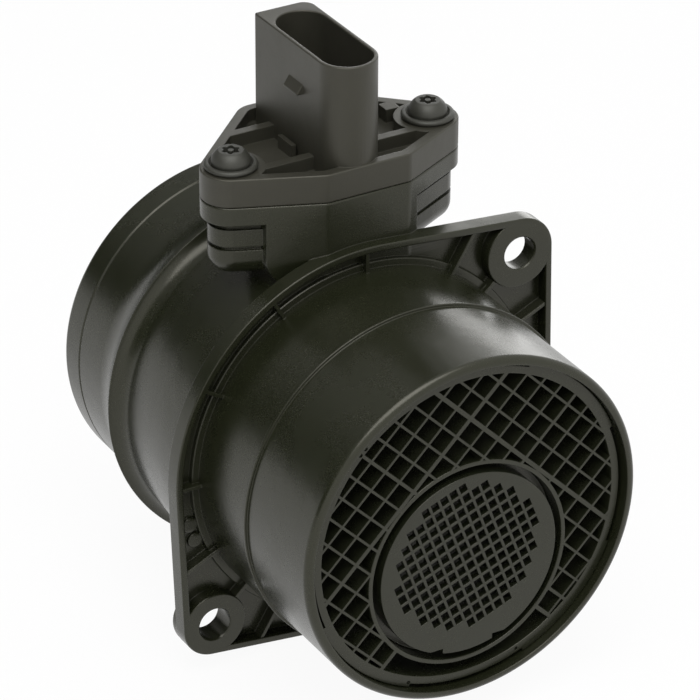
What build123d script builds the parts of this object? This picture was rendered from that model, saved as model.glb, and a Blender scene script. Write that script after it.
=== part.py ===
"""Hot-film mass airflow sensor: flow tube with inlet grille and a plug-in sensor insert.

Frame: the tube axis is Y, air enters at -Y and leaves at +Y, the plug points to +Z.
The origin is on the tube axis, in the mounting face of the flange. Sizes are in millimetres.
"""
from build123d import *
import os
from math import cos, pi, radians, sin

# ---------------------------------------------------------------- flow tube
INLET_Y = -47.6            # front edge of the inlet spigot
OUTLET_Y = 71.5            # rear edge of the outlet spigot
INLET_R = 43.6             # outer radius of the inlet spigot
OUTLET_R = 43.1            # outer radius of the outlet spigot
BORE_R = 40.7              # bore right through the tube
RIM_ROUND = 1.6            # rounding on the spigot ends
BEAD_Y = -20.6             # fine raised line round the inlet spigot
BEAD_RISE = 0.7
BEAD_WIDTH = 1.0
ROOT_RISE = 0.3            # the inlet spigot is this much larger behind the bead
BODY_FRONT_R = 45.8        # body just behind the flange
BODY_BOW = 0.5             # how far the body bows out of its straight taper
BODY_REAR_R = 44.0         # waist in front of the hose stop
STOP_Y = 40.6              # sharp edge of the hose stop on the outlet side
STOP_R = 47.2
STOP_FILLET_LENGTH = 5.0   # concave run from the waist up to the stop
STOP_FILLET_BOW = 1.2
STOP_FLARE_LENGTH = 12.0   # concave run from the stop down to the outlet spigot
STOP_FLARE_BOW = 1.0
EXIT_BEVEL = 0.6           # widening of the bore at the outlet
EXIT_BEVEL_LENGTH = 2.0
CUT_OVER = 1.0             # cuts run this far past the face they open
GROOVE_Y = 63.4            # fine groove round the outlet spigot
GROOVE_DEPTH = 0.4
GROOVE_WIDTH = 0.7

# ---------------------------------------------------------------- flange
FLANGE_THICK = 4.5
FLANGE_R = 50.6
FLANGE_RIM = 1.7           # width of the raised edge round the cored pockets
BOLT_X = 41.0
BOLT_Z = 38.3
BOLT_HOLE_R = 4.1
LUG_R = 8.9                # upper lug and its boss
LOW_LUG_R = 8.1            # lower lug and its boss
LUG_LENGTH = 6.3           # the bolt bosses stand out behind the flange
POCKET_DEPTH = 3.2
LEDGE_RISE = 1.8           # step round the tube root inside the pockets
LEDGE_DEPTH = 1.8
RIB_THICK = 0.9
RIB_SET_BACK = 0.3         # ribs lie this far behind the mounting face
RIB_ANGLES = (25.0, 43.0, 58.5, 90.0, 120.0, 150.0, 180.0)
PAD_R = 1.9                # round ejector pads on the pocket floor
PAD_HEIGHT = 0.8
PAD_ANGLES = (13.5, 19.0)

# ---------------------------------------------------------------- inlet grille
GRILLE_FRONT_Y = -45.3
GRILLE_DEPTH = 7.0
GRILLE_FIT = 0.1           # radial clearance in the inlet seat
GRILLE_SEAT_STEP = 0.7     # the seat is this much larger than the bore
GRILLE_RING_WIDTH = 2.9
NARROW_SPAN = 44.0         # angle of each relieved stretch of the ring
NARROW_GROOVE_WIDTH = 1.0
NARROW_GROOVE_DEPTH = 3.0
MESH_PITCH = 5.2
MESH_THIN = 0.65
MESH_AXIS = 0.85           # bars through the middle of the grid
MESH_THICK = 1.1           # the two long chords and the window walls
MESH_CHORD = 20.0          # distance of the two long thick chords from the tube axis
CENTRE_Z = -9.5            # axis of the inner ring and the strainer
INNER_RING_R = 26.2
INNER_RING_WALL = 1.15
INNER_FLOOR_DEPTH = 4.6    # floor of the annular groove inside the ring
INNER_FLOOR_THICK = 1.4
INNER_FLOOR_WIDTH = 4.6

# ---------------------------------------------------------------- centre strainer
STRAINER_GAP = 1.8         # annular groove between ring and strainer
STRAINER_PROUD = 0.4       # strainer face in front of the grille face
STRAINER_THICK = 1.6
STRAINER_SKIRT = 1.3
STRAINER_FIT = 0.05
FINE_U = 2.59              # hole pitch along the rows
FINE_V = 2.92              # hole pitch across the rows
FINE_BAR = 0.75
FINE_TURN = 20.8           # the rows climb at this angle
FINE_WINDOW_R = 20.2
FINE_WINDOW_RISE = 2.1
FINE_WINDOW_X = -0.5
NOTCH_X = 8.2
NOTCH_WIDTH = 3.2
NOTCH_DEPTH = 1.3

# ---------------------------------------------------------------- sensor seat on the tube
SCREW_X = 26.0
SCREW_Y = 17.7
EAR_R = 7.2
SEAT_FRONT_Y = 2.8
SEAT_REAR_Y = 43.6
SEAT_FRONT_LEFT = 11.5     # the straight front edge runs from here to the right value
SEAT_FRONT_RIGHT = 14.9
SEAT_FRONT_ROUND = 3.0
SEAT_REAR_HALF = 13.0
SEAT_REAR_ROUND = 6.0
SEAT_Z = 63.0              # parting face between housing and sensor
SEAT_THICK = 4.7
NECK_LEFT = 22.1
NECK_RIGHT = 15.3
NECK_REAR_Y = 41.5
NECK_SHOULDER_Z = 48.0     # the neck draws in below this height
NECK_FOOT_LEFT = 14.5
NECK_FOOT_Z = 40.0
NECK_BOW = 1.4             # how far the shoulder bows out
BOSS_R = 5.6               # screw boss under each ear
BOSS_END_Z = 44.3
BOSS_ROUND = 4.4           # rounding of the lower end
BOSS_GROOVE_DEPTH = 0.8
BOSS_GROOVES = ((51.3, 52.3), (56.6, 58.3))
BORE_HALF_X = 8.2          # half width of the opening that the insert passes
BORE_FRONT_Y = 7.6
BORE_REAR_Y = 38.6

# ---------------------------------------------------------------- sensor body
PLATE_THICK = 7.2
PLATE_RIM = 2.5
PLATE_RECESS = 3.3
PLATE_RIB = 2.3
PLATE_RIB_Y = (13.8, 32.3)
SCREW_PAD_R = 8.0          # land round each screw
SHROUD_HALF_X = 7.2
SHROUD_FRONT_Y = 3.3
SHROUD_REAR_Y = 40.3
SHROUD_TOP_Z = 95.0
SHROUD_WALL = 1.1
SHROUD_REAR_WALL = 3.6
SHROUD_REAR_ROUND = 3.0
SHROUD_FLOOR_Z = 77.0
LATCH_Y = 21.0
LATCH_WIDTH = 6.4
LATCH_TOP_Z = 86.2
LATCH_HEIGHT = 2.6
LATCH_PROUD = 1.5
LATCH_ROOT = 0.5           # depth of the latch inside the shroud wall
KEY_BAR_X = -8.4           # short bar beside the shroud
KEY_BAR_Y = 23.0
KEY_BAR_LENGTH = 6.4
KEY_BAR_THICK = 1.2
STOP_PAD_X = 21.0          # square pad beside the right screw
STOP_PAD_Y = 26.8
STOP_PAD_SIZE = 3.6
STEM_FIT = 0.2
STEM_END_Z = 39.5
BLADE_HALF_X = 6.4
BLADE_FRONT_Y = 9.4
BLADE_REAR_Y = 36.8
BLADE_TIP_Z = -22.0
BLADE_NOSE_R = 3.0
BLADE_TAIL = 2.9           # taper of the trailing edge
BLADE_WALL = 1.6
COVER_THICK = 1.2
COVER_FIT = 0.1
BAY_BOTTOM_Z = 4.5
BAY_TOP_Z = 38.0
BAY_FLOOR_X = -1.8
CHANNEL_FLOOR_X = -4.6
CHANNEL_TOP_Z = 1.5
CHANNEL_WIDTH = 9.0
CHANNEL_BEND_WIDTH = 6.5
CHANNEL_BEND_SHIFT = 1.0   # the bend lies this far behind the blade's middle
CHANNEL_EXIT_HEIGHT = 6.3
CORNER_ROUND = 1.8         # corners of the bay and the covers

# ---------------------------------------------------------------- electronics
PLATE_METAL = 1.0
BOARD_THICK = 0.8
BOARD_MARGIN = 1.6
LAY = 0.02                 # bond line between stacked parts
HOLDER_WIDTH = 5.0
HOLDER_REACH = 5.7
HOLDER_END = 0.6           # holder left below the chip
HOLDER_THICK = 1.2
CHIP_WIDTH = 2.6
CHIP_LENGTH = 4.8
CHIP_THICK = 0.5
MEMBRANE_DEPTH = 0.1
MEMBRANE_SIZE = 1.3
CONTROL_SIZE = (6.0, 7.0, 1.2)
CONTROL_SHIFT = -3.5
RESISTOR_SIZE = (3.2, 1.6, 0.7)
RESISTOR_SHIFT = 5.0
RESISTOR_PITCH = 4.0
CAPACITOR_SIZE = (2.4, 3.2, 1.4)
CAPACITOR_SHIFT = 6.0
CAPACITOR_RISE = 2.0
TERMINAL_COUNT = 5
TERMINAL_PITCH = 5.0
TERMINAL_LOW_PITCH = 3.6
TERMINAL_WIDTH = 1.5
TERMINAL_THICK = 0.8
TERMINAL_TOP_Z = 87.0
TERMINAL_TIP = 0.9         # taper at the free end
TERMINAL_JOG_Z = 70.0
TERMINAL_JOG_HEIGHT = 6.0
TERMINAL_END_Z = 35.5
BEAD_LEAD_R = 0.35
BEAD_R = 1.3
BEAD_Z = 27.0
BEAD_REACH = 5.0
BEAD_LEAD_GAP = 4.0

# ---------------------------------------------------------------- seal and screws
SEAL_SECTION_R = 1.0
SEAL_Z = 50.0
SEAL_CLEAR = 0.05
SCREW_SHANK_R = 1.9
SCREW_END_Z = 50.0
SCREW_HEAD_R = 4.6
SCREW_HEAD_HEIGHT = 3.4
SCREW_EDGE = 0.9
SCREW_TOP_R = 2.9
SCREW_DOME = (3.9, 0.9)    # radius and depth of the dome's middle
SCREW_TIP_BEVEL = 1.1
SCREW_FIT = 0.05
SCREW_TIP_GAP = 0.8
WASHER_R = 6.3
WASHER_THICK = 1.3
WASHER_DISH = 0.5
SOCKET_R = 2.2
SOCKET_LOBE_R = 0.6
SOCKET_DEPTH = 1.7
SOCKET_PIN_R = 0.7

# ---------------------------------------------------------------- derived places
ROOT_R = INLET_R + ROOT_RISE
LEDGE_R = ROOT_R + LEDGE_RISE
LUGS = ((BOLT_X, BOLT_Z, LUG_R), (-BOLT_X, -BOLT_Z, LOW_LUG_R))
GRILLE_SEAT_R = BORE_R + GRILLE_SEAT_STEP
GRILLE_R = GRILLE_SEAT_R - GRILLE_FIT
GRILLE_REAR_Y = GRILLE_FRONT_Y + GRILLE_DEPTH
MESH_R = GRILLE_R - GRILLE_RING_WIDTH
RING_BORE_R = INNER_RING_R - INNER_RING_WALL
STRAINER_R = RING_BORE_R - STRAINER_GAP
STRAINER_FRONT_Y = GRILLE_FRONT_Y - STRAINER_PROUD
PLATE_TOP_Z = SEAT_Z + PLATE_THICK
PLATE_FLOOR_Z = PLATE_TOP_Z - PLATE_RECESS
SEAT_UNDER_Z = SEAT_Z - SEAT_THICK
HEAD_UNDER_Z = PLATE_TOP_Z + WASHER_THICK
BORE_MID_Y = (BORE_FRONT_Y + BORE_REAR_Y) / 2
BLADE_MID_Y = (BLADE_FRONT_Y + BLADE_REAR_Y) / 2
BLADE_LENGTH = BLADE_REAR_Y - BLADE_FRONT_Y
COVER_BACK_X = BLADE_HALF_X - COVER_THICK
BOARD_X = BAY_FLOOR_X + PLATE_METAL
CHIP_X = BOARD_X + BOARD_THICK


def across(y):
    """Sketch plane across the tube at station y, seen from the inlet."""
    return Plane.XZ.offset(-y)


def slab(sketch, front_y, rear_y):
    """Prism of a sketch across the tube, from front_y back to rear_y."""
    return extrude(across(rear_y) * sketch, rear_y - front_y)


def tower(sketch, low_z, high_z):
    """Prism of a plan sketch between two heights."""
    return extrude(Plane.XY.offset(low_z) * sketch, high_z - low_z)


def side_slab(sketch, low_x, high_x):
    """Prism of a sketch in Y and Z, from low_x to high_x."""
    return extrude(Plane.YZ.offset(low_x) * sketch, high_x - low_x)


def box_between(x0, x1, y0, y1, z0, z1):
    return Pos((x0 + x1) / 2, (y0 + y1) / 2, (z0 + z1) / 2) * Box(x1 - x0, y1 - y0, z1 - z0)


def on_circle(radius, degrees):
    return (radius * cos(radians(degrees)), radius * sin(radians(degrees)))


def hull_of(circles):
    """Taut outline round circles given as (x, y, radius)."""
    edges = []
    for x, y, radius in circles:
        edges += (Pos(x, y) * Circle(radius)).edges()
    return make_hull(edges)


def bowed(start, end, bow):
    """Middle point of an arc that bows off the chord, to the left where bow is positive."""
    x, y = end[0] - start[0], end[1] - start[1]
    length = (x * x + y * y) ** 0.5
    return ((start[0] + end[0]) / 2 - bow * y / length, (start[1] + end[1]) / 2 + bow * x / length)


def bow_arc(start, end, bow):
    return ThreePointArc(start, bowed(start, end, bow), end)


def spoke(inner, outer, degrees, thick):
    """Flat radial bar in a plane sketch."""
    return Rot(0, 0, degrees) * Pos((inner + outer) / 2, 0) * Rectangle(outer - inner, thick)


# ---------------------------------------------------------------- flow housing
def tube_outside():
    bead_back = BEAD_Y + BEAD_WIDTH
    stop_foot = STOP_Y - STOP_FILLET_LENGTH
    flare_foot = STOP_Y + STOP_FLARE_LENGTH
    round_bow = RIM_ROUND * (1 - cos(pi / 4))
    inlet_face = (INLET_R - RIM_ROUND, INLET_Y)
    inlet_side = (INLET_R, INLET_Y + RIM_ROUND)
    outlet_side = (OUTLET_R, OUTLET_Y - RIM_ROUND)
    outlet_face = (OUTLET_R - RIM_ROUND, OUTLET_Y)
    outline = [
        Line((0, INLET_Y), inlet_face),
        bow_arc(inlet_face, inlet_side, -round_bow),
        Polyline(inlet_side, (INLET_R, BEAD_Y), (INLET_R + BEAD_RISE, BEAD_Y),
                 (INLET_R + BEAD_RISE, bead_back), (ROOT_R, bead_back), (ROOT_R, FLANGE_THICK),
                 (BODY_FRONT_R, FLANGE_THICK)),
        bow_arc((BODY_FRONT_R, FLANGE_THICK), (BODY_REAR_R, stop_foot), -BODY_BOW),
        bow_arc((BODY_REAR_R, stop_foot), (STOP_R, STOP_Y), STOP_FILLET_BOW),
        bow_arc((STOP_R, STOP_Y), (OUTLET_R, flare_foot), STOP_FLARE_BOW),
        Polyline((OUTLET_R, flare_foot), (OUTLET_R, GROOVE_Y - GROOVE_WIDTH / 2),
                 (OUTLET_R - GROOVE_DEPTH, GROOVE_Y), (OUTLET_R, GROOVE_Y + GROOVE_WIDTH / 2),
                 outlet_side),
        bow_arc(outlet_side, outlet_face, -round_bow),
        Polyline(outlet_face, (0, OUTLET_Y), (0, INLET_Y)),
    ]
    return revolve(make_face(outline), Axis.Y)


def tube_inside():
    exit_r = BORE_R + EXIT_BEVEL
    outline = Polyline((0, INLET_Y - CUT_OVER), (GRILLE_SEAT_R, INLET_Y - CUT_OVER),
                       (GRILLE_SEAT_R, GRILLE_REAR_Y), (BORE_R, GRILLE_REAR_Y),
                       (BORE_R, OUTLET_Y - EXIT_BEVEL_LENGTH), (exit_r, OUTLET_Y),
                       (exit_r, OUTLET_Y + CUT_OVER), (0, OUTLET_Y + CUT_OVER), close=True)
    return revolve(make_face(outline), Axis.Y)


def flange_outline(grow=0.0):
    return hull_of([(0, 0, FLANGE_R + grow)] + [(x, z, radius + grow) for x, z, radius in LUGS])


def lug_discs():
    return [Pos(x, z) * Circle(radius) for x, z, radius in LUGS]


def flange_blank():
    blank = slab(flange_outline(), 0, FLANGE_THICK)
    for disc in lug_discs():
        blank += slab(disc, 0, LUG_LENGTH)
    return blank


def flange_ribs():
    reach = FLANGE_R + LUG_R + BOLT_X
    return [spoke(0, reach, angle + turn, RIB_THICK) for turn in (0, 180) for angle in RIB_ANGLES]


def flange_pockets():
    """Cored pockets on the mounting side, with the ribs, bosses and pads left standing."""
    field = flange_outline(-FLANGE_RIM)
    for disc in lug_discs():
        field -= disc
    upper = field - Circle(ROOT_R)
    lower = field - Circle(LEDGE_R)
    ribs = flange_ribs()
    pad_ring = (LEDGE_R + FLANGE_R - FLANGE_RIM) / 2
    pads = [Pos(*on_circle(pad_ring, 180 + angle)) * Circle(PAD_R) for angle in PAD_ANGLES]
    return [
        slab(upper, 0, RIB_SET_BACK),
        slab(upper - ribs, RIB_SET_BACK, LEDGE_DEPTH),
        slab(lower - ribs, LEDGE_DEPTH, POCKET_DEPTH - PAD_HEIGHT),
        slab(lower - ribs - pads, POCKET_DEPTH - PAD_HEIGHT, POCKET_DEPTH),
    ]


def seat_outline(grow=0.0):
    """Kite-shaped plan of the sensor seat and plate, with an ear at each screw."""
    front_y = SEAT_FRONT_Y + SEAT_FRONT_ROUND
    rear_x = SEAT_REAR_HALF - SEAT_REAR_ROUND
    rear_y = SEAT_REAR_Y - SEAT_REAR_ROUND
    circles = [(SEAT_FRONT_ROUND - SEAT_FRONT_LEFT, front_y, SEAT_FRONT_ROUND + grow),
               (SEAT_FRONT_RIGHT - SEAT_FRONT_ROUND, front_y, SEAT_FRONT_ROUND + grow)]
    for side in (-1, 1):
        circles.append((side * SCREW_X, SCREW_Y, EAR_R + grow))
        circles.append((side * rear_x, rear_y, SEAT_REAR_ROUND + grow))
    return hull_of(circles)


def stadium(half_x, front_y, rear_y):
    """Plan slot with round ends, long in Y."""
    length = rear_y - front_y
    return Pos(0, (front_y + rear_y) / 2) * Rot(0, 0, 90) * SlotOverall(length, 2 * half_x)


def seat_neck():
    """Neck that carries the seat, drawn in towards the tube on its left side."""
    shoulder = (-NECK_LEFT, NECK_SHOULDER_Z)
    foot = (-NECK_FOOT_LEFT, NECK_FOOT_Z)
    side = make_face([
        Polyline((NECK_RIGHT, 0), (NECK_RIGHT, SEAT_Z), (-NECK_LEFT, SEAT_Z), shoulder),
        bow_arc(shoulder, foot, -NECK_BOW),
        Polyline(foot, (-NECK_FOOT_LEFT, 0), (NECK_RIGHT, 0)),
    ])
    plan = seat_outline() & Pos(0, (SEAT_FRONT_Y + NECK_REAR_Y) / 2) * Rectangle(
        4 * SCREW_X, NECK_REAR_Y - SEAT_FRONT_Y)
    return slab(side, SEAT_FRONT_Y, NECK_REAR_Y) & tower(plan, 0, SEAT_Z)


def boss_outline(side, grow=0.0):
    """Plan of the screw boss, which runs from the screw into the neck along the seat's edge."""
    inset = EAR_R - BOSS_R - grow
    reach = Pos(side * SCREW_X, SCREW_Y - EAR_R + BOSS_R) * Rectangle(2 * SCREW_X, 4 * BOSS_R)
    return seat_outline(-inset) & reach


def screw_boss(side):
    """Boss under one ear with a rounded lower end and grooves round it."""
    blank = tower(boss_outline(side), BOSS_END_Z, SEAT_Z)
    low_edges = blank.edges().group_by(Axis.Z)[0]
    boss = fillet(low_edges, BOSS_ROUND)
    for low_z, high_z in BOSS_GROOVES:
        ring = boss_outline(side, CUT_OVER) - boss_outline(side, -BOSS_GROOVE_DEPTH)
        boss -= tower(ring, low_z, high_z)
    return boss


def make_flow_housing():
    solid = tube_outside() + flange_blank() + seat_neck()
    solid += tower(seat_outline(), SEAT_UNDER_Z, SEAT_Z)
    for side in (-1, 1):
        solid += screw_boss(side)
    for side in (-1, 1):
        solid -= Pos(side * SCREW_X, SCREW_Y) * tower(
            Circle(SCREW_SHANK_R + SCREW_FIT), SCREW_END_Z - SCREW_TIP_GAP, SEAT_Z)
    solid -= tube_inside()
    for pocket in flange_pockets():
        solid -= pocket
    for x, z, _ in LUGS:
        solid -= slab(Pos(x, z) * Circle(BOLT_HOLE_R), -CUT_OVER, LUG_LENGTH + CUT_OVER)
    solid -= tower(stadium(BORE_HALF_X, BORE_FRONT_Y, BORE_REAR_Y), 0, SEAT_Z)
    return solid


# ---------------------------------------------------------------- inlet grille
def mesh_lines(first, last):
    """Distances of the grid lines from the tube axis."""
    count_low = int((MESH_CHORD - first) // MESH_PITCH)
    count_high = int((last - MESH_CHORD) // MESH_PITCH)
    return [MESH_CHORD + step * MESH_PITCH for step in range(-count_low, count_high + 1)]


def grille_mesh():
    """Square grid turned by 45 degrees; the long chords and the axis lines are thicker."""
    axis_line = min(mesh_lines(-MESH_R, MESH_R), key=abs)
    bars = []
    for turn in (45, 135):
        for distance in mesh_lines(-MESH_R, MESH_R):
            thick = MESH_THIN
            if distance == MESH_CHORD:
                thick = MESH_THICK
            elif distance == axis_line:
                thick = MESH_AXIS
            bars.append(Rot(0, 0, turn) * Pos(distance, 0) * Rectangle(thick, 2 * MESH_R))
    return Sketch() + bars


def window_line():
    """Grid line that each wall of the open bottom sector lies on."""
    return [d for d in mesh_lines(-MESH_R, MESH_R) if d < -MESH_PITCH][-1]


def grille_window():
    """Bottom sector of the grille, which is left open between two walls."""
    corner = window_line() * 2 ** 0.5
    return make_face(Polyline((0, corner), (-2 * MESH_R, corner - 2 * MESH_R),
                              (2 * MESH_R, corner - 2 * MESH_R), close=True))


def ring_relief(quarter):
    """Stretch of the grille's outer edge that is set back, centred on one of the four sides."""
    band = Circle(GRILLE_R + CUT_OVER) - Circle(GRILLE_R - NARROW_GROOVE_WIDTH)
    reach = 2 * GRILLE_R
    half = radians(NARROW_SPAN / 2)
    wedge = make_face(Polyline((0, 0), (reach * cos(half), reach * sin(half)),
                               (reach * cos(half), -reach * sin(half)), close=True))
    return slab(band & Rot(0, 0, 90 * quarter) * wedge, GRILLE_FRONT_Y,
                GRILLE_FRONT_Y + NARROW_GROOVE_DEPTH)


def make_inlet_grille():
    ring_centre = Pos(0, CENTRE_Z)
    inner_disc = ring_centre * Circle(INNER_RING_R)
    field = Circle(MESH_R + MESH_THIN) - inner_disc
    walls = [Rot(0, 0, turn) * Pos(window_line(), 0) * Rectangle(MESH_THICK, 2 * MESH_R)
             for turn in (45, 135)]
    lower_half = Pos(0, -MESH_R) * Rectangle(2 * MESH_R, 2 * MESH_R + 2 * CENTRE_Z)
    mesh = (grille_mesh() - grille_window()) & field
    wall_bars = ((Sketch() + walls) & field & lower_half) - grille_window()
    solid = slab(Circle(GRILLE_R) - Circle(MESH_R), GRILLE_FRONT_Y, GRILLE_REAR_Y)
    solid += slab(mesh + wall_bars, GRILLE_FRONT_Y, GRILLE_REAR_Y)
    solid += slab(inner_disc - ring_centre * Circle(RING_BORE_R), GRILLE_FRONT_Y, GRILLE_REAR_Y)
    floor_y = GRILLE_FRONT_Y + INNER_FLOOR_DEPTH
    solid += slab(inner_disc - ring_centre * Circle(RING_BORE_R - INNER_FLOOR_WIDTH),
                  floor_y, floor_y + INNER_FLOOR_THICK)
    for quarter in range(4):
        solid -= ring_relief(quarter)
    return solid


# ---------------------------------------------------------------- centre strainer
def strainer_holes():
    """Square holes on tilted rows; only whole holes inside the round window are kept."""
    hole_u = FINE_U - FINE_BAR
    hole_v = FINE_V - FINE_BAR
    count = int(FINE_WINDOW_R // FINE_U) + 2
    reach = FINE_WINDOW_R - (hole_u ** 2 + hole_v ** 2) ** 0.5 / 2
    holes = []
    for column in range(-count, count + 1):
        for row in range(-count, count + 1):
            u = column * FINE_U
            v = row * FINE_V
            if u * u + v * v <= reach * reach:
                holes.append(Pos(u, v) * Rectangle(hole_u, hole_v))
    place = Pos(FINE_WINDOW_X, CENTRE_Z + FINE_WINDOW_RISE)
    return place * Rot(0, 0, FINE_TURN) * (Sketch() + holes)


def make_centre_strainer():
    disc = Pos(0, CENTRE_Z) * Circle(STRAINER_R)
    notches = [Pos(side * NOTCH_X, CENTRE_Z - STRAINER_R) * Rectangle(NOTCH_WIDTH, 2 * NOTCH_DEPTH + 2)
               for side in (-1, 1)]
    face_rear = STRAINER_FRONT_Y + STRAINER_THICK
    skirt_rear = GRILLE_FRONT_Y + INNER_FLOOR_DEPTH - STRAINER_FIT
    solid = slab(disc - notches - strainer_holes(), STRAINER_FRONT_Y, face_rear)
    skirt = disc - Pos(0, CENTRE_Z) * Circle(STRAINER_R - STRAINER_SKIRT)
    return solid + slab(skirt - notches, face_rear, skirt_rear)


# ---------------------------------------------------------------- sensor body
def shroud_outline():
    """Plug shroud in plan: round front end, flat sides, one rounded rear corner."""
    front_mid_y = SHROUD_FRONT_Y + SHROUD_HALF_X
    corner = SHROUD_REAR_ROUND
    half = SHROUD_HALF_X
    corner_mid = corner * (1 - cos(pi / 4))
    return make_face([
        ThreePointArc((-half, front_mid_y), (0, SHROUD_FRONT_Y), (half, front_mid_y)),
        Line((half, front_mid_y), (half, SHROUD_REAR_Y - corner)),
        ThreePointArc((half, SHROUD_REAR_Y - corner),
                      (half - corner_mid, SHROUD_REAR_Y - corner_mid),
                      (half - corner, SHROUD_REAR_Y)),
        Polyline((half - corner, SHROUD_REAR_Y), (-half, SHROUD_REAR_Y), (-half, front_mid_y)),
    ])


def shroud_cavity():
    return stadium(SHROUD_HALF_X - SHROUD_WALL, SHROUD_FRONT_Y + SHROUD_WALL,
                   SHROUD_REAR_Y - SHROUD_REAR_WALL)


def latch_ramp():
    """Wedge on the flat side of the shroud, thickest at its lower edge."""
    low_z = LATCH_TOP_Z - LATCH_HEIGHT
    root_x = LATCH_ROOT - SHROUD_HALF_X
    wedge = make_face(Polyline((root_x, LATCH_TOP_Z), (-SHROUD_HALF_X, LATCH_TOP_Z),
                               (-SHROUD_HALF_X - LATCH_PROUD, low_z), (root_x, low_z), close=True))
    return slab(wedge, LATCH_Y - LATCH_WIDTH / 2, LATCH_Y + LATCH_WIDTH / 2)


def plate_pockets():
    field = seat_outline(-PLATE_RIM) - shroud_outline()
    for side in (-1, 1):
        field -= Pos(side * SCREW_X, SCREW_Y) * Circle(SCREW_PAD_R)
    for y in PLATE_RIB_Y:
        field -= Pos(0, y) * Rectangle(4 * SCREW_X, PLATE_RIB)
    field -= Pos(KEY_BAR_X, KEY_BAR_Y) * Rectangle(KEY_BAR_THICK, KEY_BAR_LENGTH)
    field -= Pos(STOP_PAD_X, STOP_PAD_Y) * Rectangle(STOP_PAD_SIZE, STOP_PAD_SIZE)
    return tower(field, PLATE_FLOOR_Z, PLATE_TOP_Z)


def blade_outline():
    """Blade in plan, with a rounded leading edge and a tapered trailing edge."""
    half = BLADE_HALF_X
    nose = BLADE_NOSE_R
    tail = BLADE_TAIL
    round_bow = nose * (1 - cos(pi / 4))
    return make_face([
        Polyline((half, BLADE_FRONT_Y + nose), (half, BLADE_REAR_Y - tail),
                 (half - tail, BLADE_REAR_Y), (-half + tail, BLADE_REAR_Y),
                 (-half, BLADE_REAR_Y - tail), (-half, BLADE_FRONT_Y + nose)),
        bow_arc((-half, BLADE_FRONT_Y + nose), (-half + nose, BLADE_FRONT_Y), -round_bow),
        Line((-half + nose, BLADE_FRONT_Y), (half - nose, BLADE_FRONT_Y)),
        bow_arc((half - nose, BLADE_FRONT_Y), (half, BLADE_FRONT_Y + nose), -round_bow),
    ])


def bay_outline(shrink=0.0):
    """Electronics bay in the blade, seen from +X."""
    inset = BLADE_WALL + BLADE_NOSE_R / 2 + shrink
    width = BLADE_LENGTH - 2 * inset
    height = BAY_TOP_Z - BAY_BOTTOM_Z - 2 * shrink
    return Pos(BLADE_MID_Y, (BAY_TOP_Z + BAY_BOTTOM_Z) / 2) * RectangleRounded(width, height, CORNER_ROUND)


def channel_outline():
    """Bypass channel, seen from +X: in at the nose, round a bend past the chip, out at the tail."""
    low = BLADE_TIP_Z + BLADE_WALL
    inlet_low = CENTRE_Z - CHANNEL_WIDTH / 2
    front = BLADE_FRONT_Y - CUT_OVER
    rear = BLADE_REAR_Y + CUT_OVER
    exit_low = CHANNEL_TOP_Z - CHANNEL_EXIT_HEIGHT
    bend_r = (CHANNEL_TOP_Z - low) / 2
    entry = make_face(Polyline((front, inlet_low), (BLADE_MID_Y, inlet_low),
                               (BLADE_MID_Y, inlet_low + CHANNEL_WIDTH),
                               (front, inlet_low + CHANNEL_WIDTH), close=True))
    bend_place = Pos(BLADE_MID_Y + CHANNEL_BEND_SHIFT, low + bend_r)
    bend = bend_place * Circle(bend_r)
    island = bend_place * Circle(bend_r - CHANNEL_BEND_WIDTH)
    exit_mouth = make_face(Polyline((BLADE_MID_Y, exit_low), (rear, exit_low),
                                    (rear, CHANNEL_TOP_Z), (BLADE_MID_Y, CHANNEL_TOP_Z),
                                    close=True))
    return entry + bend + exit_mouth - island


def terminal_places():
    """Plan Y of each terminal in the plug and at the board."""
    cavity_mid = (SHROUD_FRONT_Y + SHROUD_WALL + SHROUD_REAR_Y - SHROUD_REAR_WALL) / 2
    middle = (TERMINAL_COUNT - 1) / 2
    return [(cavity_mid + (index - middle) * TERMINAL_PITCH,
             BLADE_MID_Y + (index - middle) * TERMINAL_LOW_PITCH)
            for index in range(TERMINAL_COUNT)]


def make_terminal(top_y, low_y):
    """Flat pin that jogs from the plug spacing to the board spacing."""
    half = TERMINAL_WIDTH / 2
    tip = TERMINAL_TIP
    jog_low = TERMINAL_JOG_Z - TERMINAL_JOG_HEIGHT
    path = make_face(Polyline(
        (top_y - half, TERMINAL_JOG_Z), (top_y - half, TERMINAL_TOP_Z - tip),
        (top_y - half / 2, TERMINAL_TOP_Z), (top_y + half / 2, TERMINAL_TOP_Z),
        (top_y + half, TERMINAL_TOP_Z - tip), (top_y + half, TERMINAL_JOG_Z),
        (low_y + half, jog_low), (low_y + half, TERMINAL_END_Z),
        (low_y - half, TERMINAL_END_Z), (low_y - half, jog_low), close=True))
    foot_x = CHIP_X + LAY
    return side_slab(path, foot_x, foot_x + TERMINAL_THICK)


def thermistor_leads():
    """Two parallel wires out of the leading edge, with the bead between their ends."""
    front = BLADE_FRONT_Y - BEAD_REACH
    rear = BLADE_FRONT_Y + BLADE_WALL + BLADE_NOSE_R / 2
    wires = []
    for side in (-1, 1):
        z = BEAD_Z + side * BEAD_LEAD_GAP / 2
        wires.append(slab(Pos(0, z) * Circle(BEAD_LEAD_R), front, rear))
    return wires


def make_intake_thermistor():
    front = BLADE_FRONT_Y - BEAD_REACH
    span = tower(Pos(0, front + BEAD_LEAD_R) * Circle(BEAD_LEAD_R),
                 BEAD_Z - BEAD_LEAD_GAP / 2, BEAD_Z + BEAD_LEAD_GAP / 2)
    bead = Pos(0, front + BEAD_LEAD_R, BEAD_Z) * Sphere(BEAD_R)
    solid = span + bead
    for wire in thermistor_leads():
        solid += wire
    return solid


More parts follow.
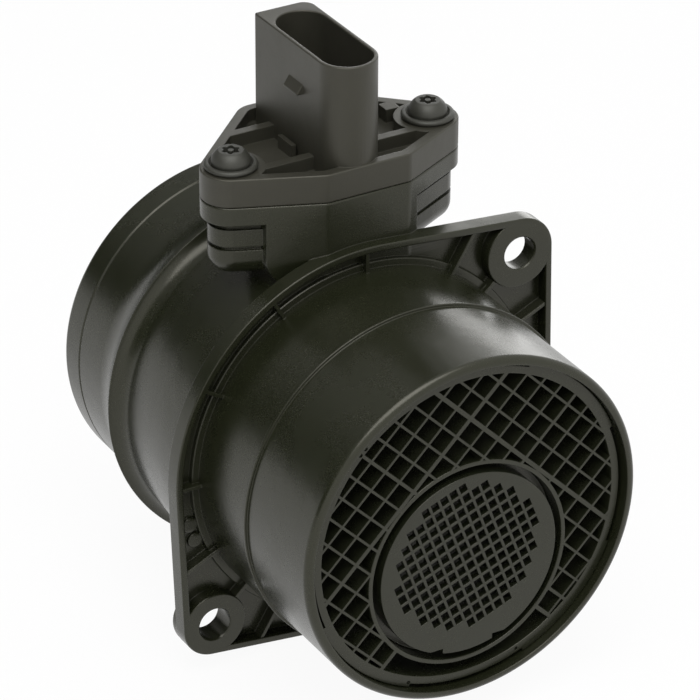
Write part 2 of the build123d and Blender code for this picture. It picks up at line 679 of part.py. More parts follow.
def make_sensor_body():
    solid = tower(seat_outline(), SEAT_Z, PLATE_TOP_Z)
    solid -= plate_pockets()
    solid += tower(shroud_outline(), SEAT_Z, SHROUD_TOP_Z)
    solid += latch_ramp()
    stem_half = BORE_HALF_X - STEM_FIT
    stem = stadium(stem_half, BORE_FRONT_Y + STEM_FIT, BORE_REAR_Y - STEM_FIT)
    solid += tower(stem, STEM_END_Z, SEAT_Z)
    solid += tower(blade_outline(), BLADE_TIP_Z, STEM_END_Z)
    groove = 2 * SEAL_SECTION_R
    core = stadium(stem_half - groove, BORE_FRONT_Y + STEM_FIT + groove,
                   BORE_REAR_Y - STEM_FIT - groove)
    band = stadium(BORE_HALF_X + CUT_OVER, BORE_FRONT_Y - CUT_OVER, BORE_REAR_Y + CUT_OVER) - core
    solid -= tower(band, SEAL_Z - SEAL_SECTION_R - SEAL_CLEAR, SEAL_Z + SEAL_SECTION_R + SEAL_CLEAR)
    solid -= tower(shroud_cavity(), SHROUD_FLOOR_Z, SHROUD_TOP_Z)
    solid -= side_slab(bay_outline(), BAY_FLOOR_X, BLADE_HALF_X)
    solid -= side_slab(bay_outline(-COVER_FIT - BLADE_WALL / 2), COVER_BACK_X, BLADE_HALF_X)
    solid -= side_slab(channel_outline(), CHANNEL_FLOOR_X, COVER_BACK_X)
    solid -= side_slab(channel_cover_outline(COVER_FIT), COVER_BACK_X, BLADE_HALF_X)
    solid -= holder_slot()
    for side in (-1, 1):
        solid -= Pos(side * SCREW_X, SCREW_Y) * tower(
            Circle(SCREW_SHANK_R + 3 * SCREW_FIT), SEAT_Z, PLATE_TOP_Z)
    for top_y, low_y in terminal_places():
        solid -= make_terminal(top_y, low_y)
    for wire in thermistor_leads():
        solid -= wire
    return solid


def channel_cover_outline(grow=0.0):
    """Lid over the bypass channel, seen from +X."""
    front = BLADE_FRONT_Y + BLADE_NOSE_R + BLADE_WALL / 2 - grow
    rear = BLADE_REAR_Y - BLADE_WALL - BLADE_NOSE_R / 2 + BLADE_WALL / 2 + grow
    low = BLADE_TIP_Z + BLADE_WALL / 2 - grow
    high = CHANNEL_TOP_Z + BLADE_WALL / 2 + grow
    lid = RectangleRounded(rear - front, high - low, CORNER_ROUND)
    return Pos((front + rear) / 2, (low + high) / 2) * lid


def holder_outline(grow=0.0):
    """Tongue that carries the chip from the bay down into the channel, seen from +X."""
    top = BAY_BOTTOM_Z + BOARD_MARGIN + HOLDER_WIDTH
    low = CHANNEL_TOP_Z - HOLDER_REACH
    return Pos(BLADE_MID_Y, (top + low) / 2) * Rectangle(HOLDER_WIDTH + 2 * grow, top - low)


def holder_slot():
    low_z = CHANNEL_TOP_Z - HOLDER_REACH
    return box_between(BOARD_X, BOARD_X + HOLDER_THICK, BLADE_MID_Y - HOLDER_WIDTH / 2,
                       BLADE_MID_Y + HOLDER_WIDTH / 2, low_z, BAY_BOTTOM_Z)


# ---------------------------------------------------------------- covers and electronics
def make_electronics_cover():
    return side_slab(bay_outline(-BLADE_WALL / 2), COVER_BACK_X + LAY, BLADE_HALF_X)


def make_channel_cover():
    return side_slab(channel_cover_outline(), COVER_BACK_X + LAY, BLADE_HALF_X)


def make_base_plate():
    return side_slab(bay_outline(BOARD_MARGIN / 2), BAY_FLOOR_X + LAY, BOARD_X)


def board_outline():
    """Ceramic board, cut away at its lower edge for the chip holder."""
    return bay_outline(BOARD_MARGIN) - holder_outline(BOARD_MARGIN / 2)


def make_hybrid_board():
    return side_slab(board_outline(), BOARD_X + LAY, CHIP_X)


def chip_slab():
    """Place of the silicon chip, flush in the end of the holder."""
    face_x = BOARD_X + HOLDER_THICK
    low = CHANNEL_TOP_Z - HOLDER_REACH + HOLDER_END
    chip = Pos(BLADE_MID_Y, low + CHIP_LENGTH / 2) * Rectangle(CHIP_WIDTH, CHIP_LENGTH)
    return side_slab(chip, face_x - CHIP_THICK, face_x)


def make_chip_holder():
    return side_slab(holder_outline(), BOARD_X + LAY, BOARD_X + HOLDER_THICK) - chip_slab()


def make_sensor_chip():
    """Silicon chip with the recess of its thin heated membrane."""
    face_x = BOARD_X + HOLDER_THICK
    low = CHANNEL_TOP_Z - HOLDER_REACH + HOLDER_END
    membrane = Pos(BLADE_MID_Y, low + CHIP_LENGTH / 2) * Rectangle(MEMBRANE_SIZE, MEMBRANE_SIZE)
    return chip_slab() - side_slab(membrane, face_x - MEMBRANE_DEPTH, face_x)


def chip_block(y, z, size):
    """Flat component of the given width, height and thickness, bonded on the board."""
    width, height, thick = size
    return side_slab(Pos(y, z) * Rectangle(width, height), CHIP_X + LAY, CHIP_X + thick)


def make_control_chip():
    return chip_block(BLADE_MID_Y + CONTROL_SHIFT, (BAY_BOTTOM_Z + BAY_TOP_Z) / 2, CONTROL_SIZE)


def make_trim_resistors():
    middle = (BAY_BOTTOM_Z + BAY_TOP_Z) / 2
    blocks = [chip_block(BLADE_MID_Y + RESISTOR_SHIFT, middle + step * RESISTOR_PITCH, RESISTOR_SIZE)
              for step in (-1, 0, 1)]
    return Compound(children=blocks)


def make_filter_capacitors():
    level = BAY_BOTTOM_Z + BOARD_MARGIN + HOLDER_WIDTH + CAPACITOR_RISE
    blocks = [chip_block(BLADE_MID_Y + side * CAPACITOR_SHIFT, level, CAPACITOR_SIZE)
              for side in (-1, 1)]
    return Compound(children=blocks)


# ---------------------------------------------------------------- seal, washers and screws
def make_stem_seal():
    """Ring seal that follows the stem, between its groove and the neck bore."""
    section_r = SEAL_SECTION_R - SEAL_CLEAR
    half = BORE_HALF_X - SEAL_CLEAR - section_r
    front = BORE_FRONT_Y + SEAL_CLEAR + section_r
    rear = BORE_REAR_Y - SEAL_CLEAR - section_r
    path = Plane.XY.offset(SEAL_Z) * stadium(half, front, rear)
    start = Plane(origin=(half, BORE_MID_Y, SEAL_Z), x_dir=(1, 0, 0), z_dir=(0, 1, 0))
    return sweep(start * Circle(section_r), path=path.wire())


def make_washer(side):
    """Dished washer with a rolled edge."""
    bore = SCREW_SHANK_R + 2 * SCREW_FIT
    edge = WASHER_THICK / 2
    profile = make_face([
        Polyline((bore, PLATE_TOP_Z), (WASHER_R - edge, PLATE_TOP_Z)),
        ThreePointArc((WASHER_R - edge, PLATE_TOP_Z), (WASHER_R, PLATE_TOP_Z + edge),
                      (WASHER_R - edge, HEAD_UNDER_Z)),
        Polyline((WASHER_R - edge, HEAD_UNDER_Z), (SCREW_HEAD_R + SCREW_FIT, HEAD_UNDER_Z - WASHER_DISH),
                 (bore, HEAD_UNDER_Z - WASHER_DISH), (bore, PLATE_TOP_Z)),
    ])
    return Pos(side * SCREW_X, SCREW_Y) * revolve(Plane.XZ * profile, Axis.Z)


def star_socket():
    """Six-lobed recess with a standing centre pin."""
    star = Sketch() + Circle(SOCKET_R - SOCKET_LOBE_R)
    for lobe in range(6):
        star += Pos(*on_circle(SOCKET_R - SOCKET_LOBE_R, 60 * lobe)) * Circle(SOCKET_LOBE_R)
    return star - Circle(SOCKET_PIN_R)


def make_screw(side):
    under = HEAD_UNDER_Z - WASHER_DISH
    top = under + SCREW_HEAD_HEIGHT
    edge = under + SCREW_EDGE
    tip = SCREW_TIP_BEVEL
    dome_r, dome_drop = SCREW_DOME
    profile = make_face([
        Polyline((0, top), (0, SCREW_END_Z), (SCREW_SHANK_R - tip, SCREW_END_Z),
                 (SCREW_SHANK_R, SCREW_END_Z + tip), (SCREW_SHANK_R, under),
                 (SCREW_HEAD_R, under), (SCREW_HEAD_R, edge)),
        ThreePointArc((SCREW_HEAD_R, edge), (dome_r, top - dome_drop), (SCREW_TOP_R, top)),
        Line((SCREW_TOP_R, top), (0, top)),
    ])
    screw = revolve(Plane.XZ * profile, Axis.Z)
    screw -= tower(star_socket(), top - SOCKET_DEPTH, top)
    return Pos(side * SCREW_X, SCREW_Y) * screw


def all_parts():
    parts = {
        "flow_housing": make_flow_housing(),
        "inlet_grille": make_inlet_grille(),
        "centre_strainer": make_centre_strainer(),
        "sensor_body": make_sensor_body(),
        "electronics_cover": make_electronics_cover(),
        "channel_cover": make_channel_cover(),
        "base_plate": make_base_plate(),
        "hybrid_board": make_hybrid_board(),
        "chip_holder": make_chip_holder(),
        "sensor_chip": make_sensor_chip(),
        "control_chip": make_control_chip(),
        "trim_resistors": make_trim_resistors(),
        "filter_capacitors": make_filter_capacitors(),
        "intake_thermistor": make_intake_thermistor(),
        "stem_seal": make_stem_seal(),
        "washer_left": make_washer(-1),
        "washer_right": make_washer(1),
        "mount_screw_left": make_screw(-1),
        "mount_screw_right": make_screw(1),
    }
    for index, (top_y, low_y) in enumerate(terminal_places()):
        parts[f"terminal_{index + 1}"] = make_terminal(top_y, low_y)
    return parts


def main():
    os.makedirs("parts", exist_ok=True)
    for name, shape in all_parts().items():
        export_step(shape, f"parts/{name}.step")


main()
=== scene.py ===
"""Mass airflow sensor: the detailed moulded pieces, their finishes and the studio stage."""
from math import atan2, cos, degrees, hypot, pi, radians, sin
from types import SimpleNamespace

import bmesh
import bpy
from bpy.props import FloatProperty, FloatVectorProperty, PointerProperty
from bpy.types import Operator, Panel, PropertyGroup
from mathutils import Matrix, Vector
from mathutils.geometry import convex_hull_2d, tessellate_polygon


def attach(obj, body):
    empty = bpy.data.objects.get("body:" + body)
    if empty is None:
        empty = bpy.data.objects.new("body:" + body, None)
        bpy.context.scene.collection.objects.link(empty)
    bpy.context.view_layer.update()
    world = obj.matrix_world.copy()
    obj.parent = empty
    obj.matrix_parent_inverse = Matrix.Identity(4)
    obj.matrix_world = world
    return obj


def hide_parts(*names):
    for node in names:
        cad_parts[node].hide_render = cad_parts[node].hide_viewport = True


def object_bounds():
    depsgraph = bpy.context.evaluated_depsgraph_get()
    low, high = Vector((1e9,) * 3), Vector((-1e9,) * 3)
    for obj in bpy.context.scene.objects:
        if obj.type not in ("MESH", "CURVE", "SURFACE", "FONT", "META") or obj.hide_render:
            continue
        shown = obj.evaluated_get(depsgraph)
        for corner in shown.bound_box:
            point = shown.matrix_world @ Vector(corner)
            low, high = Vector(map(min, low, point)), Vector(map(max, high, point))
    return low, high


bl_info = {
    "name": "Mass airflow sensor",
    "version": (1, 0, 0),
    "blender": (4, 5, 0),
    "location": "View3D > Sidebar > Airflow",
    "description": "Builds the moulded pieces, fasteners and stage of a mass airflow sensor",
    "category": "Object",
}

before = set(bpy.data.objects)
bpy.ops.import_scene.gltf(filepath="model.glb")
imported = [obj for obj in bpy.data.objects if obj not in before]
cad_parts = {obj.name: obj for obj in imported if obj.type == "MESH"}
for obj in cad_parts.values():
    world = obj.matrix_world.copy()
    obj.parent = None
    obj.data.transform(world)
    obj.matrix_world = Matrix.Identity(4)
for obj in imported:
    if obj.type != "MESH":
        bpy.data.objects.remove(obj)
SOLIDS_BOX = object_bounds()
MM = 0.001
ROUND_STEPS = 192
SHARP_ANGLE = radians(32)

# Fixed details of the pieces, in millimetres and degrees
SINK = 0.4                                  # how deep a form ends inside the one it joins
EXIT_BEVEL_LENGTH, EXIT_BEVEL_RISE = 2, 0.6
GROOVE_HALF = 0.4
TUBE_OVERLAP = 0.8
RIB_ANGLES = (25, 58.5, 90, 120, 150, 180)  # a rib also runs to each bolt boss
PAD_ANGLES = (193.5, 199.0)
MOUTH_FLARE, MOUTH_DEPTH = 1.3, 0.4
BOSS_GROOVES = ((51.3, 52.3), (56.6, 58.3))
RELIEF_HALF_SPAN = 22                       # half the angle that a relief groove covers
COLLAR_WIDTH = 4.6
DIMPLES = ((-27.2, 28.4, 0.5), (-28.5, 27.1, 0.5), (13.5, -37.0, 0.45), (-15.5, -37.0, 0.45))
HOLE_TURN = 20.8                            # the rows of strainer holes climb at this angle
SKIRT_WALL = 1.3
NOTCH_HALF, NOTCH_REACH = 1.6, 2.3
SHROUD_CORNER, SHROUD_EDGE = 3.0, 0.6
KEY_BAR = (-9.0, 19.8, -7.8, 26.2)
STOP_PAD = (19.2, 25.0, 22.8, 28.6)
STEM_FIT = 0.2
STEM_CORE_Z = 40
SEAL_GROOVE_Z, SEAL_GROOVE_DEPTH = (48.95, 51.05), 2
BLADE_TAPER, BLADE_NOSE_R, BLADE_CORNER = 2.9, 3.0, 0.8
BLADE_WALL = 1.6
COVER_THICK, COVER_EDGE = 1.2, 0.9
RECESS_CORNER = 1.8
BAY_X, BAY_LOW_Z, BAY_TOP_Z, BAY_INSET = -1.8, 4.5, 38.0, 3.1
CHANNEL_X, CHANNEL_TOP_Z = -4.6, 1.5
CHANNEL_ENTRY_Z = (-14.0, -5.0)
CHANNEL_EXIT, CHANNEL_WIDTH, BEND_SHIFT = 6.3, 6.5, 1
ISLAND_X = (-6, 8)                          # past both ends of the channel
LOWER_SEAT_INSETS = (3.7, 0.7, 2.2)         # from the blade's nose, tip and tail
TONGUE_SLOT, TONGUE_SLOT_X = (20.6, -4.2, 25.6, 5), (-0.8, 0.4)
SCREW_TIP = 1.1
HEAD_EDGE = 0.9
FAR = 60                                    # past every side of the sensor seat

# Fixed details of the stage, in millimetres and degrees
FLOOR_HALF, FLOOR_CORNER, FLOOR_THICK, FLOOR_GAP = 3000, 400, 8, 0.05
FLOOR_GLOW = 0.94                           # share of plain white in the floor that the camera sees
FLAG_ROWS, FLAG_COLUMNS = 8, 24
LAMP_AIM = (0, 0, 0.02)                     # in metres


# ---------------------------------------------------------------- sizes and colours
def length(name, millimetres, words):
    """A size in the panel, given here in millimetres and kept in metres."""
    return FloatProperty(name=name, description=words, default=millimetres * MM, precision=5,
                         unit='LENGTH')


def tint(name, colour, words):
    return FloatVectorProperty(name=name, description=words, default=colour, size=3,
                               min=0.0, max=1.0, subtype='COLOR')


def share(name, amount, words):
    return FloatProperty(name=name, description=words, default=amount, min=0.0, max=1.0,
                         subtype='FACTOR')


def angle_setting(name, turn, words):
    """An angle in the panel, given here in degrees and kept in radians."""
    return FloatProperty(name=name, description=words, default=radians(turn), subtype='ANGLE')


def power_setting(name, watts, words):
    return FloatProperty(name=name, description=words, default=watts, min=0.0, unit='POWER')


class TubeSizes(PropertyGroup):
    inlet_y: length("Inlet end", -47.6, "Front edge of the inlet spigot")
    outlet_y: length("Outlet end", 71.5, "Rear edge of the outlet spigot")
    inlet_r: length("Inlet radius", 43.6, "Outer radius of the inlet spigot")
    outlet_r: length("Outlet radius", 43.1, "Outer radius of the outlet spigot")
    bore_r: length("Bore radius", 40.7, "Inner radius of the flow tube")
    seat_r: length("Grille seat radius", 41.4, "Radius of the seat that holds the grille")
    seat_rear_y: length("Grille seat depth", -38.3, "Rear end of the grille seat")
    rim_round: length("Rim rounding", 1.6, "Rounding of both spigot ends")
    bead_y: length("Bead place", -20.6, "Fine raised line round the inlet spigot")
    bead_rise: length("Bead height", 0.7, "How far the fine line stands out")
    bead_width: length("Bead width", 1.0, "Width of the fine line")
    root_r: length("Root radius", 43.9, "Spigot radius behind the fine line")
    body_front_r: length("Body front radius", 45.8, "Body radius just behind the flange")
    body_rear_r: length("Body waist radius", 44.0, "Body radius in front of the hose stop")
    body_bow: length("Body bow", 0.5, "How far the body bows out of a straight taper")
    stop_y: length("Hose stop place", 40.6, "Sharp edge of the hose stop")
    stop_r: length("Hose stop radius", 47.2, "Radius of the hose stop edge")
    stop_run: length("Stop fillet length", 5.0, "Concave run up to the hose stop")
    stop_bow: length("Stop fillet bow", 1.2, "How deep the run up to the stop is")
    flare_run: length("Stop flare length", 12.0, "Concave run down to the outlet spigot")
    flare_bow: length("Stop flare bow", 1.0, "How deep the run down from the stop is")
    groove_y: length("Groove place", 63.4, "Fine groove round the outlet spigot")
    groove_depth: length("Groove depth", 0.4, "Depth of the fine groove")


class FlangeSizes(PropertyGroup):
    radius: length("Flange radius", 50.6, "Outer radius of the flange disc")
    thick: length("Flange thickness", 4.5, "Thickness of the flange")
    rim: length("Rim width", 1.7, "Width of the raised edge round the pockets")
    bolt_x: length("Bolt offset across", 41.0, "Bolt hole distance to the side of the axis")
    bolt_z: length("Bolt offset up", 38.3, "Bolt hole distance above the axis")
    hole_r: length("Bolt hole radius", 4.1, "Radius of the bolt holes")
    lug_r: length("Upper lug radius", 8.9, "Radius of the upper lug and its boss")
    low_lug_r: length("Lower lug radius", 8.1, "Radius of the lower lug and its boss")
    lug_rear_y: length("Boss length", 6.3, "Rear end of the lower bolt boss")
    floor_y: length("Pocket depth", 3.2, "Depth of the cored pockets")
    ledge_r: length("Ledge radius", 45.7, "Outer radius of the step in the pockets")
    ledge_y: length("Ledge depth", 1.8, "Depth of the step in the pockets")
    rib: length("Rib thickness", 0.9, "Thickness of the radial ribs")
    rib_y: length("Rib set-back", 0.3, "How far the ribs lie behind the face")
    pad_r: length("Pad radius", 1.9, "Radius of the ejector pads")
    pad_rise: length("Pad height", 0.8, "Height of the ejector pads")


class SeatSizes(PropertyGroup):
    screw_x: length("Screw offset", 26.0, "Screw distance to each side")
    screw_y: length("Screw place", 17.7, "Screw distance behind the flange face")
    ear_r: length("Ear radius", 7.2, "Radius of the ears round the screws")
    front_y: length("Front edge", 2.8, "Front edge of the sensor seat")
    rear_y: length("Rear edge", 43.6, "Rear edge of the sensor seat")
    front_left: length("Front edge left", 11.5, "Left end of the straight front edge")
    front_right: length("Front edge right", 14.9, "Right end of the straight front edge")
    front_round: length("Front rounding", 3.0, "Corner rounding of the front edge")
    rear_half: length("Rear half width", 13.0, "Half width of the rear edge")
    rear_round: length("Rear rounding", 6.0, "Corner rounding of the rear edge")
    seat_z: length("Seat height", 63.0, "Parting face between housing and sensor")
    under_z: length("Seat underside", 58.3, "Underside of the seat flange")
    neck_left: length("Neck left", 22.1, "Left side of the neck")
    neck_right: length("Neck right", 15.3, "Right side of the neck")
    neck_rear_y: length("Neck rear", 41.5, "Rear face of the neck")
    shoulder_z: length("Neck shoulder", 48.0, "Height below which the neck draws in")
    foot_left: length("Neck foot", 14.5, "Left side of the neck at its foot")
    foot_z: length("Neck foot height", 40.0, "Height of the drawn-in foot")
    neck_bow: length("Neck bow", 1.4, "How far the shoulder bows out")
    boss_r: length("Screw boss radius", 5.6, "Radius of the screw bosses under the ears")
    boss_end_z: length("Screw boss end", 44.3, "Lower end of the screw bosses")
    boss_round: length("Screw boss rounding", 4.4, "Rounding of the lower end")
    boss_groove: length("Boss groove depth", 0.8, "Depth of the grooves round the bosses")
    bore_half: length("Neck bore half width", 8.2, "Half width of the opening in the neck")
    bore_front_y: length("Neck bore front", 7.6, "Front end of the opening in the neck")
    bore_rear_y: length("Neck bore rear", 38.6, "Rear end of the opening in the neck")


class GrilleSizes(PropertyGroup):
    front_y: length("Grille face", -45.3, "Front face of the grille")
    depth: length("Grille depth", 7.0, "Depth of the grille bars")
    radius: length("Grille radius", 41.3, "Outer radius of the grille")
    mesh_r: length("Grid radius", 38.4, "Outer radius of the open grid")
    pitch: length("Grid pitch", 5.2, "Distance between the grid bars")
    thin: length("Bar width", 0.65, "Width of the plain bars")
    middle: length("Middle bar width", 0.85, "Width of the bars through the middle")
    heavy: length("Heavy bar width", 1.1, "Width of the heavy bars")
    chord: length("Heavy chord", 20.0, "Distance of the heavy chords from the axis")
    groove_width: length("Relief width", 1.0, "Width of the four relief grooves")
    groove_depth: length("Relief depth", 3.0, "Depth of the four relief grooves")
    centre_z: length("Inner ring centre", -9.5, "Height of the inner ring's axis")
    ring_r: length("Inner ring radius", 26.2, "Outer radius of the inner ring")
    ring_wall: length("Inner ring wall", 1.15, "Wall of the inner ring")
    floor_depth: length("Groove floor", 4.6, "Depth of the floor inside the inner ring")
    floor_thick: length("Groove floor thickness", 1.4, "Thickness of that floor")


class StrainerSizes(PropertyGroup):
    radius: length("Strainer radius", 23.25, "Outer radius of the strainer")
    front_y: length("Strainer face", -45.7, "Front face of the strainer")
    thick: length("Strainer thickness", 1.6, "Thickness of the strainer face")
    pitch_u: length("Hole pitch along", 2.59, "Hole pitch along a row")
    pitch_v: length("Hole pitch across", 2.92, "Distance between the rows")
    bar: length("Strainer bar", 0.75, "Width of the bars between the holes")
    window_r: length("Window radius", 20.2, "Radius of the pierced field")
    window_rise: length("Window rise", 2.1, "How far the pierced field lies above the centre")
    window_x: length("Window shift", -0.5, "How far the pierced field lies to the side")
    notch_x: length("Notch place", 8.2, "Distance of the two notches from the middle")


class InsertSizes(PropertyGroup):
    top_z: length("Plate top", 70.2, "Top face of the sensor plate")
    floor_z: length("Plate floor", 66.9, "Floor of the plate's recess")
    rim: length("Plate rim", 2.5, "Width of the plate's raised rim")
    rib: length("Plate rib", 2.3, "Thickness of the plate's ribs")
    front_rib_y: length("Front rib", 13.8, "Place of the front rib")
    rear_rib_y: length("Rear rib", 32.3, "Place of the rear rib")
    pad_r: length("Screw land", 8.0, "Radius of the land round each screw")
    half_x: length("Shroud half width", 7.2, "Half width of the plug shroud")
    front_y: length("Shroud front", 3.3, "Front end of the plug shroud")
    rear_y: length("Shroud rear", 40.3, "Rear end of the plug shroud")
    shroud_z: length("Shroud top", 95.0, "Top edge of the plug shroud")
    cavity_z: length("Plug cavity floor", 77.0, "Floor of the plug cavity")
    wall: length("Shroud wall", 1.1, "Wall of the plug shroud")
    rear_wall: length("Shroud rear wall", 3.6, "Rear wall of the plug shroud")
    latch_y: length("Latch place", 21.0, "Middle of the latch wedge")
    latch_width: length("Latch width", 6.4, "Width of the latch wedge")
    latch_z: length("Latch top", 86.2, "Top of the latch wedge")
    latch_height: length("Latch height", 2.6, "Height of the latch wedge")
    latch_proud: length("Latch reach", 1.5, "How far the latch wedge stands out")
    stem_end_z: length("Stem end", 39.5, "Lower end of the stem")
    blade_half: length("Blade half width", 6.4, "Half width of the blade")
    blade_front_y: length("Blade nose", 9.4, "Leading edge of the blade")
    blade_rear_y: length("Blade tail", 36.8, "Trailing edge of the blade")
    blade_tip_z: length("Blade tip", -22.0, "Lower end of the blade")


class FastenerSizes(PropertyGroup):
    shank_r: length("Shank radius", 1.9, "Radius of the screw shank")
    end_z: length("Screw end", 50.0, "Lower end of the screws")
    head_r: length("Head radius", 4.6, "Radius of the screw heads")
    head_height: length("Head height", 3.4, "Height of the screw heads")
    top_r: length("Head flat", 2.9, "Radius of the flat on top of the heads")
    washer_r: length("Washer radius", 6.3, "Outer radius of the washers")
    washer_thick: length("Washer thickness", 1.3, "Thickness of the washers")
    washer_dish: length("Washer dish", 0.5, "How deep the washers are dished")
    socket_r: length("Star radius", 2.2, "Radius of the star recess")
    socket_depth: length("Star depth", 1.7, "Depth of the star recess")
    pin_r: length("Pin radius", 0.7, "Radius of the pin in the star recess")


class FinishSettings(PropertyGroup):
    housing: tint("Housing", (0.012, 0.0135, 0.0065), "Colour of the housing plastic")
    grille: tint("Grille", (0.012, 0.0135, 0.007), "Colour of the grille plastic")
    strainer: tint("Strainer", (0.010, 0.0115, 0.006), "Colour of the strainer plastic")
    insert: tint("Sensor", (0.029, 0.028, 0.021), "Colour of the sensor body plastic")
    screws: tint("Screws", (0.043, 0.043, 0.035), "Colour of the screws and washers")
    roughness: share("Plastic roughness", 0.27, "Roughness of the housing and grille")
    matt_roughness: share("Matt roughness", 0.44, "Roughness of the sensor body")
    grain: share("Grain", 0.5, "Strength of the fine moulded grain")


class StageSettings(PropertyGroup):
    azimuth: angle_setting("Azimuth", -30.3, "Camera angle round the part, from the inlet")
    elevation: angle_setting("Elevation", 29.27, "Camera angle above the horizon")
    roll: angle_setting("Roll", 0.25, "Camera roll")
    lens: FloatProperty(name="Lens", default=231.4, min=1.0, unit='CAMERA',
                        description="Focal length of the camera")
    distance: length("Distance", 1051.7, "Camera distance from the origin's plane")
    aim_right: length("Aim right", -4.12, "Camera offset to its own right")
    aim_up: length("Aim up", 20.82, "Camera offset upwards in its own view")
    daylight: FloatProperty(name="Surroundings", default=0.62, min=0.0,
                            description="Strength of the white surroundings")
    softbox: power_setting("Softbox", 9.0, "Power of the large soft lamp above")
    side_box: power_setting("Side softbox", 4.0, "Power of the soft lamp behind the part")


def millimetres(group):
    """The lengths of a property group as plain numbers in millimetres."""
    names = [p.identifier for p in group.bl_rna.properties if p.type == 'FLOAT' and not p.is_array]
    return SimpleNamespace(**{name: getattr(group, name) / MM for name in names})


def sizes():
    """All size groups of the scene, in millimetres, under short names."""
    scene = bpy.context.scene
    return SimpleNamespace(
        tube=millimetres(scene.airflow_tube), flange=millimetres(scene.airflow_flange),
        seat=millimetres(scene.airflow_seat), grille=millimetres(scene.airflow_grille),
        strainer=millimetres(scene.airflow_strainer), insert=millimetres(scene.airflow_insert),
        fastener=millimetres(scene.airflow_fastener))


# ---------------------------------------------------------------- flat outlines, in millimetres
def circle(x, y, radius, steps=64):
    return [(x + radius * cos(2 * pi * k / steps), y + radius * sin(2 * pi * k / steps))
            for k in range(steps)]


def hull(circles, steps=96):
    """Taut outline round circles given as (x, y, radius)."""
    points = [p for x, y, radius in circles for p in circle(x, y, radius, steps)]
    return [points[k] for k in convex_hull_2d([Vector(p) for p in points])]


def rectangle(x0, y0, x1, y1):
    return [(x0, y0), (x1, y0), (x1, y1), (x0, y1)]


def stadium(half_x, y0, y1, steps=20):
    """Slot with round ends, long in y."""
    low = [(half_x * cos(pi + pi * k / steps), y0 + half_x + half_x * sin(pi + pi * k / steps))
           for k in range(steps + 1)]
    high = [(half_x * cos(pi * k / steps), y1 - half_x + half_x * sin(pi * k / steps))
            for k in range(steps + 1)]
    return low + high


def rounded(corners, steps=5):
    """Closed outline whose corners (x, y, radius) are rounded."""
    points = []
    for k, (x, y, radius) in enumerate(corners):
        if radius == 0:
            points.append((x, y))
            continue
        here = Vector((x, y))
        before = (Vector(corners[k - 1][:2]) - here).normalized()
        after = (Vector(corners[(k + 1) % len(corners)][:2]) - here).normalized()
        half = before.angle(after) / 2
        centre = here + (before + after).normalized() * radius / sin(half)
        start = here + before * radius * cos(half) / sin(half) - centre
        end = here + after * radius * cos(half) / sin(half) - centre
        sweep = start.angle_signed(end)
        for step in range(steps + 1):
            turned = Matrix.Rotation(-sweep * step / steps, 2) @ start
            points.append(tuple(centre + turned))
    return points


def through(first, middle, last, steps=16):
    """Points of the arc through three points, without its two ends."""
    (ax, ay), (bx, by), (cx, cy) = first, middle, last
    d = 2 * (ax * (by - cy) + bx * (cy - ay) + cx * (ay - by))
    sa, sb, sc = ax * ax + ay * ay, bx * bx + by * by, cx * cx + cy * cy
    ux = (sa * (by - cy) + sb * (cy - ay) + sc * (ay - by)) / d
    uy = (sa * (cx - bx) + sb * (ax - cx) + sc * (bx - ax)) / d
    radius = hypot(ax - ux, ay - uy)
    start, end = atan2(ay - uy, ax - ux), atan2(cy - uy, cx - ux)
    turn = (end - start + pi) % (2 * pi) - pi
    return [(ux + radius * cos(start + turn * k / steps), uy + radius * sin(start + turn * k / steps))
            for k in range(1, steps)]


def bowed(start, end, bow):
    """Points of an arc that bows off the chord, to the left where bow is positive."""
    x, y = end[0] - start[0], end[1] - start[1]
    chord = hypot(x, y)
    middle = ((start[0] + end[0]) / 2 - bow * y / chord, (start[1] + end[1]) / 2 + bow * x / chord)
    return through(start, middle, end)


def turned(points, angle, x=0.0, y=0.0):
    """Points turned by an angle in degrees and then moved."""
    c, s = cos(radians(angle)), sin(radians(angle))
    return [(x + px * c - py * s, y + px * s + py * c) for px, py in points]


def reach(outline, angle):
    """Distance from the origin to a convex outline in a direction, in degrees."""
    ray = Vector((cos(radians(angle)), sin(radians(angle))))
    for k, point in enumerate(outline):
        a, b = Vector(outline[k - 1]), Vector(point)
        edge = b - a
        bottom = ray.cross(edge)
        if abs(bottom) < 1e-9:
            continue
        along, across = a.cross(edge) / bottom, a.cross(ray) / bottom
        if along > 0 and -1e-6 <= across <= 1 + 1e-6:
            return along
    raise RuntimeError("a rib misses its outline")


def clipped(outline, point, normal):
    """Part of a convex outline on the side of a line that its normal points to."""
    px, py = point
    nx, ny = normal
    heights = [(x - px) * nx + (y - py) * ny for x, y in outline]
    kept = []
    for k, (here, height) in enumerate(zip(outline, heights)):
        last, before = outline[k - 1], heights[k - 1]
        if (height < 0) != (before < 0):
            share = before / (before - height)
            kept.append((last[0] + (here[0] - last[0]) * share, last[1] + (here[1] - last[1]) * share))
        if height >= 0:
            kept.append(here)
    return kept


def drawn_in(outline, inset):
    """Convex outline moved inwards; edges that vanish are left out."""
    smaller = outline
    for k, (x, y) in enumerate(outline):
        px, py = outline[k - 1]
        run = hypot(x - px, y - py)
        if run > 1e-6:
            normal = ((py - y) / run, (x - px) / run)
            smaller = clipped(smaller, (x + normal[0] * inset, y + normal[1] * inset), normal)
    return smaller


# ---------------------------------------------------------------- solids
def new_object(name, bm):
    """Object of a closed mesh given in millimetres."""
    bmesh.ops.recalc_face_normals(bm, faces=bm.faces)
    bmesh.ops.scale(bm, vec=Vector((MM, MM, MM)), verts=bm.verts)
    mesh = bpy.data.meshes.new(name)
    bm.to_mesh(mesh)
    bm.free()
    obj = bpy.data.objects.new(name, mesh)
    bpy.context.scene.collection.objects.link(obj)
    return obj


